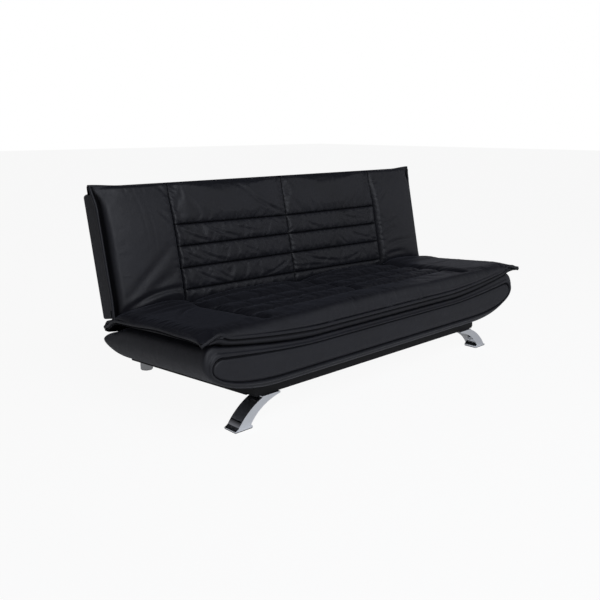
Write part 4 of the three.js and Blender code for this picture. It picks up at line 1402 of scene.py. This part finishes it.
    def seam_distance(self, x: Array, y: Array) -> Array:
        """Distance from the vertical seams and the channels."""
        reach = np.maximum(0.0, self.thread_from - y)
        past = self.past_seam(x)
        distance = np.minimum(np.hypot(past, reach), np.hypot(x, reach + self.middle_ease))
        for line in self.channels:
            distance = np.minimum(distance, np.hypot(y - line, np.maximum(0.0, past)))
        return distance

    def to_room(self, x: Array, y: Array, height: Array) -> Array:
        """The seat's frame already lies flat."""
        return self.tilt.world(np.stack([x, y, height], -1))

    def trim(self, piece: bpy.types.Object) -> None:
        """Slots the pad for the hinges' plates."""
        slots = plate_slots(self.slot_inner, self.slot_outer, self.slot_front, self.overrun)
        cut_boxes(piece, self.tilt, slots)


@dataclass
class BackPad(Pad):
    """The back's pad: a smooth head band, sewn channels between three seams, puffy side panels."""

    top_edge: float = 0.034
    tip_edge: float = 0.038
    side_edge: float = 0.045
    foot_edge: float = 0.048
    tip_rise: float = 0.008
    board_front: float = 0.038
    board_top: float = 0.5735
    board_clearance: float = 0.004
    side_form: Point = (0.026, 0.18, 0.72)
    top_form: Point = (0.018, 0.16, 0.70)
    top_fade: float = 0.066
    groove: float = 0.020
    groove_sink_share: float = 0.3
    groove_shade_share: float = 0.4
    foot_droop: float = 0.005
    seam_floor: float = 0.060
    seam_runs: Place = (0.025, 0.022)
    middle_floor: float = 0.058
    middle_runs: Place = (0.022, 0.034)
    wing_crown: float = 0.094
    wing_head: float = 0.078
    middle_crown: float = 0.071
    middle_head: float = 0.066
    head_from: float = 0.36
    head_hold_share: float = 0.75
    channels: tuple[Point, ...] = (
        (0.140, 0.131, 0.118),
        (0.230, 0.223, 0.215),
        (0.321, 0.314, 0.308),
        (0.412, 0.401, 0.400),
    )
    channel_form: Point = (0.006, 0.034, 0.0060)
    channel_fade: float = 0.03
    foot_base: ClassVar[float] = 0.045
    foot_wing: ClassVar[float] = 0.055
    foot_wing_run: ClassVar[float] = 0.35
    foot_middle: ClassVar[float] = 0.025

    def plan(self, u: Array, v: Array) -> tuple[Array, Array]:
        """Spreads the sides towards the top tips and bends the rows to the channels."""
        x = self.widened(u, clamped(smooth(1 - (1 - v) / 0.2) + 0.3 * smooth(1 - v / 0.15)))
        tip = self.tip_rise * ramp(np.abs(u), 0.86, 0.14)
        droop = self.foot_droop * ramp(np.abs(u), 0.93, 0.07)
        y = mix(self.near - droop, self.far + tip, v)
        rows = self.marks()[1]
        for line, low, mid, high in zip(self.channels, rows, rows[1:], rows[2:]):
            drift = self.line_height(line, x) - mix(self.near, self.far, mid)
            y = y + drift * clamped(np.minimum((v - low) / (mid - low), (high - v) / (high - mid)))
        return x, y

    def lines(self) -> list[float]:
        """The channels' places at the middle seam."""
        return [line[1] for line in self.channels]

    def edge(self, x: Array, u: Array, v: Array) -> Array:
        """The seam's depth round the pad."""
        top = mix(self.top_edge, self.tip_edge, ramp(np.abs(u), 0.55, 0.45))
        side = mix(mix(self.foot_edge, self.side_edge, v), self.tip_edge, ramp(v, 0.85, 0.15))
        side = np.maximum(side, np.where(v < 0.97, self.board_front + self.board_clearance, 0))
        return np.where(v == 1, top, np.where(v == 0, self.foot_edge, side))

    def rest(self, x: Array, y: Array) -> Array:
        """The board's front, and behind it over the board's top."""
        over = clamped((y - self.board_top) / (self.far - self.board_top))
        return mix(self.board_front + BEARING_GAP, self.top_edge - 2 * self.board_clearance, over)

    def cover(self, x: Array, y: Array, u: Array, v: Array) -> Array:
        """The crowned front with its seams and channels."""
        past = self.past_seam(x)
        foot = np.maximum((y - self.near) / self.foot_round(past, x), 0.05)
        swell = pillow_edge(self.inside(u, y), *self.side_form)
        swell = swell * pillow_edge(self.far - y, *self.top_form) * quarter_round(foot)
        head = ramp(y, self.head_from, self.far - self.head_from)
        wing = mix(self.wing_crown, self.wing_head, head)
        middle = mix(self.middle_crown, self.middle_head, head)
        crown = mix(wing, middle, ramp(-past, -0.03, 0.07))
        low = self.edge(x, u, v) - self.groove * self.groove_sink_share
        height = mix(low, crown, swell * self.pinch(x, self.far + self.tip_rise - y))
        for line in self.channels:
            sewn = sewn_in(y - self.line_height(line, x), *self.channel_form)
            height = height - sewn * ramp(-past, 0.0, self.channel_fade)
        hold = clamped((self.far - y) / self.top_fade + 0.15) * mix(1.0, self.head_hold_share, head)
        height = sewn_down(height, self.seam_floor, past, *self.seam_runs, hold)
        height = sewn_down(height, self.middle_floor, x, *self.middle_runs, hold)
        return np.maximum(height, self.board_front + 1.5 * self.board_clearance)

    def give(self, x: Array, y: Array) -> Array:
        """Loose between the channels, tight over the wings."""
        return mix(0.15, 0.8, ramp(-self.past_seam(x), -0.04, 0.06))

    @classmethod
    def foot_round(cls, past: Array, x: Array) -> Array:
        """How high up the pad its foot is rounded; the wings and panels arch between the seams."""
        wing = cls.foot_wing * np.sin(np.pi * clamped(past / cls.foot_wing_run) ** 0.6)
        middle = cls.foot_middle * np.sin(np.pi * clamped(np.abs(x) / (np.abs(x) - past)))
        return cls.foot_base + np.where(past > 0, wing, middle)

    def inside(self, u: Array, y: Array) -> Array:
        """How far each place is inside the groove along the pad's ends."""
        groove = self.groove * ramp(self.far - y, 0.0, 0.05)
        return np.maximum(0.0, self.side_half * (1 - np.abs(u)) - groove)

    def line_height(self, line: Point, x: Array) -> Array:
        """A channel's height along the pad."""
        return np.interp(x, self.seams, line)

    def seam_distance(self, x: Array, y: Array) -> Array:
        """Distance from the three seams, the channels and the grooves."""
        past = self.past_seam(x)
        distance = np.minimum(np.abs(past), np.abs(x))
        for line in self.channels:
            drop = y - self.line_height(line, x)
            distance = np.minimum(distance, np.hypot(drop, np.maximum(0.0, past)))
        # The groove's painted shade reaches a little way up the pillow's flank; the cloth's grip follows
        # the same distance
        groove = self.groove_shade_share * self.inside(x / self.side_half, y)
        return np.minimum(distance, groove)

    def to_room(self, x: Array, y: Array, height: Array) -> Array:
        """Stands the pad up against the board."""
        return self.tilt.world(np.stack([x, -height, y], -1))


def back_folds() -> list[Fold]:
    """The back pad's creases: long ones listed one by one, small ones along its seams."""
    long = [
        ((-0.20, 0.510), (-0.13, 0.450), (-0.01, 0.415), 0.0050, 0.0085),
        ((-0.27, 0.570), (-0.23, 0.540), (-0.18, 0.500), 0.0020, 0.0090),
        ((-0.615, 0.395), (-0.560, 0.350), (-0.450, 0.328), 0.0042, 0.0065),
        ((-0.610, 0.380), (-0.590, 0.362), (-0.560, 0.345), 0.0022, 0.0055),
        ((-0.460, 0.388), (-0.385, 0.350), (-0.290, 0.330), 0.0042, 0.0065),
        ((-0.330, 0.388), (-0.260, 0.350), (-0.160, 0.345), 0.0028, 0.0065),
        ((-0.080, 0.385), (-0.050, 0.370), (-0.015, 0.350), 0.0026, 0.0060),
        ((-0.612, 0.305), (-0.575, 0.275), (-0.510, 0.248), 0.0040, 0.0065),
        ((-0.535, 0.298), (-0.450, 0.243), (-0.370, 0.236), 0.0040, 0.0070),
        ((-0.285, 0.288), (-0.240, 0.262), (-0.190, 0.248), 0.0026, 0.0060),
        ((-0.550, 0.208), (-0.505, 0.172), (-0.430, 0.150), 0.0044, 0.0065),
        ((-0.455, 0.204), (-0.410, 0.165), (-0.365, 0.150), 0.0034, 0.0065),
        ((-0.030, 0.200), (-0.070, 0.165), (-0.190, 0.142), 0.0050, 0.0070),
        ((0.010, 0.385), (0.025, 0.372), (0.045, 0.345), 0.0034, 0.0060),
        ((0.110, 0.365), (0.150, 0.336), (0.220, 0.325), 0.0028, 0.0065),
        ((0.330, 0.382), (0.420, 0.345), (0.540, 0.340), 0.0032, 0.0065),
        ((0.460, 0.388), (0.500, 0.372), (0.555, 0.368), 0.0024, 0.0055),
        ((0.310, 0.285), (0.330, 0.255), (0.375, 0.232), 0.0028, 0.0060),
        ((0.405, 0.285), (0.470, 0.250), (0.560, 0.240), 0.0038, 0.0065),
        ((0.010, 0.212), (0.030, 0.200), (0.055, 0.170), 0.0046, 0.0065),
        ((0.075, 0.200), (0.160, 0.158), (0.345, 0.148), 0.0050, 0.0075),
        ((0.340, 0.150), (0.420, 0.150), (0.460, 0.178), 0.0034, 0.0070),
        ((0.010, 0.160), (0.100, 0.145), (0.240, 0.145), 0.0036, 0.0065),
        ((-0.650, 0.340), (-0.770, 0.250), (-0.930, 0.115), 0.0034, 0.0170),
        ((-0.645, 0.235), (-0.740, 0.180), (-0.870, 0.125), 0.0036, 0.0180),
        ((-0.635, 0.150), (-0.760, 0.170), (-0.925, 0.095), 0.0080, 0.0110),
        ((-0.800, 0.565), (-0.770, 0.480), (-0.775, 0.320), 0.0006, 0.0045),
        ((-0.765, 0.540), (-0.735, 0.450), (-0.745, 0.300), 0.0006, 0.0045),
        ((-0.700, 0.470), (-0.670, 0.445), (-0.640, 0.405), 0.0030, 0.0080),
        ((-0.690, 0.575), (-0.650, 0.560), (-0.632, 0.510), 0.0034, 0.0070),
        ((0.632, 0.240), (0.670, 0.262), (0.730, 0.275), 0.0052, 0.0090),
        ((0.650, 0.185), (0.750, 0.205), (0.880, 0.200), 0.0056, 0.0110),
        ((0.634, 0.290), (0.680, 0.312), (0.760, 0.320), 0.0030, 0.0080),
        ((0.632, 0.415), (0.660, 0.440), (0.700, 0.470), 0.0028, 0.0080),
        ((0.632, 0.130), (0.700, 0.150), (0.800, 0.140), 0.0050, 0.0100),
    ]
    folds = [Fold(*fold) for fold in long]
    left, right = Pad.seams[0], Pad.seams[2]
    folds += puckers(11, (left, 0.56), (left, 0.42), 7, 0.030, 0.0022, 0.4)
    folds += puckers(12, (left, 0.40), (left, 0.09), 14, 0.034, 0.0018)
    folds += puckers(13, (left, 0.10), (left, 0.55), 13, 0.035, 0.0020)
    folds += puckers(14, (0.0, 0.57), (0.0, 0.10), 20, 0.030, 0.0022)
    folds += puckers(15, (0.0, 0.10), (0.0, 0.57), 20, 0.032, 0.0022)
    folds += puckers(16, (right, 0.56), (right, 0.10), 18, 0.040, 0.0018)
    folds += puckers(17, (right, 0.10), (right, 0.56), 18, 0.034, 0.0018)
    for seed, line in enumerate(BackPad.channels, 20):
        for start, end in ((0, 1), (1, 2)):
            x = (left, 0.0, right)
            first, last = (x[start] + 0.02, line[start]), (x[end] - 0.02, line[end])
            folds += puckers(seed, first, last, 16, 0.016, 0.0011, 0.9)
            folds += puckers(seed + 10, last, first, 16, 0.016, 0.0011, 0.9)
    folds += puckers(41, (0.94, 0.585), (-0.94, 0.585), 46, 0.030, 0.0012, 0.3)
    return folds


def seat_folds() -> list[Fold]:
    """The seat pad's creases: long ones listed one by one, small ones along its seams."""
    long = [
        ((-0.70, -0.210), (-0.790, -0.230), (-0.840, -0.340), 0.0045, 0.0100),
        ((-0.630, -0.500), (-0.600, -0.560), (-0.635, -0.600), 0.0034, 0.0070),
        ((-0.640, -0.110), (-0.730, -0.090), (-0.860, -0.120), 0.0040, 0.0110),
        ((-0.650, -0.140), (-0.760, -0.135), (-0.900, -0.170), 0.0030, 0.0120),
        ((0.040, -0.130), (0.180, -0.120), (0.330, -0.150), 0.0035, 0.0100),
        ((0.100, -0.420), (0.170, -0.390), (0.260, -0.385), 0.0030, 0.0090),
        ((-0.020, -0.490), (0.110, -0.430), (0.240, -0.425), 0.0034, 0.0090),
        ((-0.390, -0.430), (-0.310, -0.415), (-0.230, -0.410), 0.0028, 0.0080),
        ((0.060, -0.180), (0.130, -0.175), (0.200, -0.200), 0.0030, 0.0090),
        ((0.600, -0.420), (0.560, -0.500), (0.580, -0.590), 0.0030, 0.0100),
        ((0.640, -0.300), (0.760, -0.330), (0.900, -0.310), 0.0022, 0.0120),
        ((0.650, -0.150), (0.760, -0.120), (0.880, -0.140), 0.0034, 0.0110),
    ]
    folds = [Fold(*fold) for fold in long]
    left, right = Pad.seams[0], Pad.seams[2]
    folds += puckers(51, (left, -0.05), (left, -0.56), 20, 0.034, 0.0022)
    folds += puckers(52, (left, -0.56), (left, -0.05), 20, 0.034, 0.0024)
    folds += puckers(53, (0.0, -0.05), (0.0, -0.48), 16, 0.034, 0.0026)
    folds += puckers(54, (0.0, -0.48), (0.0, -0.05), 16, 0.034, 0.0026)
    folds += puckers(55, (right, -0.05), (right, -0.56), 18, 0.034, 0.0020)
    folds += puckers(56, (right, -0.56), (right, -0.05), 18, 0.034, 0.0020)
    for seed, line in enumerate(SeatPad.channels, 60):
        for start, end in ((left, 0.0), (0.0, right)):
            first, last = (start + 0.02, line), (end - 0.02, line)
            folds += puckers(seed, first, last, 14, 0.020, 0.0016, 0.9)
            folds += puckers(seed + 10, last, first, 14, 0.020, 0.0016, 0.9)
    folds += puckers(81, (-0.94, -0.615), (0.94, -0.615), 44, 0.034, 0.0016, 0.3)
    folds += puckers(82, (-0.95, -0.05), (-0.95, -0.60), 12, 0.040, 0.0022, 0.3)
    folds += puckers(83, (0.95, -0.60), (0.95, -0.05), 12, 0.040, 0.0022, 0.3)
    return folds


def stand(name: str, data: Any, place: Point, aim: Point) -> bpy.types.Object:
    """Stands a camera or a lamp at a place, turned to its aim."""
    made = bpy.data.objects.new(name, data)
    made.location = place
    made.rotation_euler = (Vector(aim) - Vector(place)).to_track_quat("-Z", "Y").to_euler()
    bpy.context.scene.collection.objects.link(made)
    return made


@dataclass(frozen=True)
class Lamp:
    """A square soft box."""

    name: str
    place: Point
    size: float
    power: float
    colour: Colour
    aim: Point = (0.0, 0.0, 0.3)

    def hang(self) -> None:
        """Hangs it in the scene."""
        data = bpy.data.lights.new(self.name, "AREA")
        data.shape = "SQUARE"
        data.size = self.size
        data.energy = self.power
        data.color = self.colour
        stand(self.name, data, self.place, self.aim)


@dataclass(frozen=True)
class Studio:
    """The camera, the lights, the floor and the surroundings."""

    eye: Point = (-2.318, -2.353, 1.079)
    aim: Point = (-0.1025, -0.010, 0.3075)
    lens: float = 44.0
    sensor: float = 36.0
    shift: float = 0.0015
    lamps: tuple[Lamp, ...] = (
        Lamp("key", (-1.2, -3.2, 3.0), 3.0, 94.0, (0.90, 0.93, 1.0)),
        Lamp("side", (3.2, -2.2, 2.2), 2.5, 9.0, (0.94, 0.96, 1.0)),
    )
    floor_half: float = 30.0
    floor_colour: Colour = (0.95, 0.95, 0.95)
    floor_seen: float = 0.93
    floor_mirrored: float = 0.13
    band_height: float = 0.24
    band_fade: float = 3.8
    band_colour: Colour = (0.29, 0.29, 0.31)

    def build(self) -> None:
        """Sets the whole studio up."""
        self._camera()
        self._world()
        self._floor()
        for lamp in self.lamps:
            lamp.hang()

    def _camera(self) -> None:
        """Stands the camera where the photograph was taken."""
        data = bpy.data.cameras.new("camera")
        data.lens = self.lens
        data.sensor_width = self.sensor
        data.shift_y = self.shift
        bpy.context.scene.camera = stand("camera", data, self.eye, self.aim)

    def _world(self) -> None:
        """White to the eye, softly graded for reflections, and dim for shade."""
        world = bpy.data.worlds.new("studio")
        world.use_nodes = True
        bpy.context.scene.world = world
        recipe = Recipe(world.node_tree)
        path = recipe.node("ShaderNodeLightPath")
        place = recipe.node("ShaderNodeTexCoord").outputs["Generated"]
        height = recipe.node("ShaderNodeSeparateXYZ", None, {0: place})
        above = Wire(recipe, height.outputs[2]) - self.band_height
        band = recipe.blend((1.0 - above * self.band_fade).clamped(), BLACK, self.band_colour)
        seen = recipe.blend(path.outputs["Is Camera Ray"], band, WHITE)
        sky = recipe.node("ShaderNodeBackground", None, {"Color": seen, "Strength": 1.0})
        recipe.node("ShaderNodeOutputWorld", None, {"Surface": sky.outputs[0]})

    def _floor(self) -> None:
        """A pale floor that fades into the white and keeps a faint shadow."""
        signs = np.array([(-1, -1, 0), (1, -1, 0), (1, 1, 0), (-1, 1, 0)], float)
        floor = make_mesh("floor", signs * self.floor_half, [(0, 1, 2, 3)])
        material, recipe = new_material("pale_floor")
        path = recipe.node("ShaderNodeLightPath").outputs
        seen = Wire(recipe, path["Is Camera Ray"]) * self.floor_seen
        mirrored = Wire(recipe, path["Is Glossy Ray"]) + Wire(recipe, path["Is Transmission Ray"])
        values = {"Base Color": (*self.floor_colour, 1.0), "Roughness": 0.9}
        white = recipe.node("ShaderNodeEmission", None, {"Color": (*WHITE, 1.0)}).outputs[0]
        share = (seen + mirrored * self.floor_mirrored).clamped()
        recipe.surface(recipe.shader_mix(share, recipe.principled(values), white))
        floor.data.materials.append(material)


@dataclass
class Sofa:
    """The whole sofa bed on its frame."""

    frame: dict[str, Any]
    wardrobe: Wardrobe
    seat_slope: float = 4.0
    back_lean: float = 12.0

    def __post_init__(self) -> None:
        """Finds the hinge axis and the two frames that lean on it."""
        hinge = next(j for j in self.frame["joints"] if j["name"] == "back_fold")
        hinge_at = Vector(hinge["pos_m"])
        self.seat_tilt = Tilt(hinge_at, math.radians(self.seat_slope))
        self.back_tilt = Tilt(hinge_at, math.radians(self.back_lean))

    def build(self) -> None:
        """Makes and dresses everything."""
        self.dress_frame()
        boat = BoatShell(
            name="boat_shell",
            nodes=(
                "boat_front_wall", "boat_end_left", "boat_end_right", "boat_floor",
                "boat_rear_block", "front_panel",
            ),
            body=Body.SEAT,
            tilt=self.seat_tilt,
            half=Boat.half,
            front=-Boat.reach,
            rear=0.066,
            edge_radius=0.016,
        )
        boat.build(self.wardrobe)
        boat.pipe(self.wardrobe)
        Board(
            name="back_board",
            nodes=(
                "back_panel", "back_border_left", "back_border_right", "back_border_top",
                "back_border_foot",
            ),
            body=Body.BACK,
            tilt=self.back_tilt,
            half=0.938,
            front=-0.038,
            rear=0.074,
            edge_radius=0.011,
        ).build(self.wardrobe)
        SeatPad(
            name="seat_cushion",
            nodes=("seat_pad",),
            body=Body.SEAT,
            tilt=self.seat_tilt,
            half=0.980,
            side_half=0.966,
            near=-0.638,
            far=0.066,
            folds=seat_folds(),
        ).build(self.wardrobe)
        BackPad(
            name="back_cushion",
            nodes=("back_pad",),
            body=Body.BACK,
            tilt=self.back_tilt,
            half=0.968,
            side_half=0.956,
            near=0.076,
            far=0.590,
            folds=back_folds(),
        ).build(self.wardrobe)

    def dress_frame(self) -> None:
        """Gives the frame's own nodes the finishes of their slots."""
        slots = {part["node"]: part["material_slot"] for part in self.frame["record"]["subparts"]}
        for name, node in self.frame["nodes"].items():
            self.wardrobe.dress(node, Slot(slots[name]))


def main() -> None:
    """Builds the scene."""
    logging.basicConfig(level=logging.INFO, format="%(name)s: %(message)s")
    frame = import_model()
    bpy.context.scene.view_settings.view_transform = "Standard"
    Studio().build()
    Sofa(frame, Wardrobe()).build()


if __name__ == "__main__":
    main()
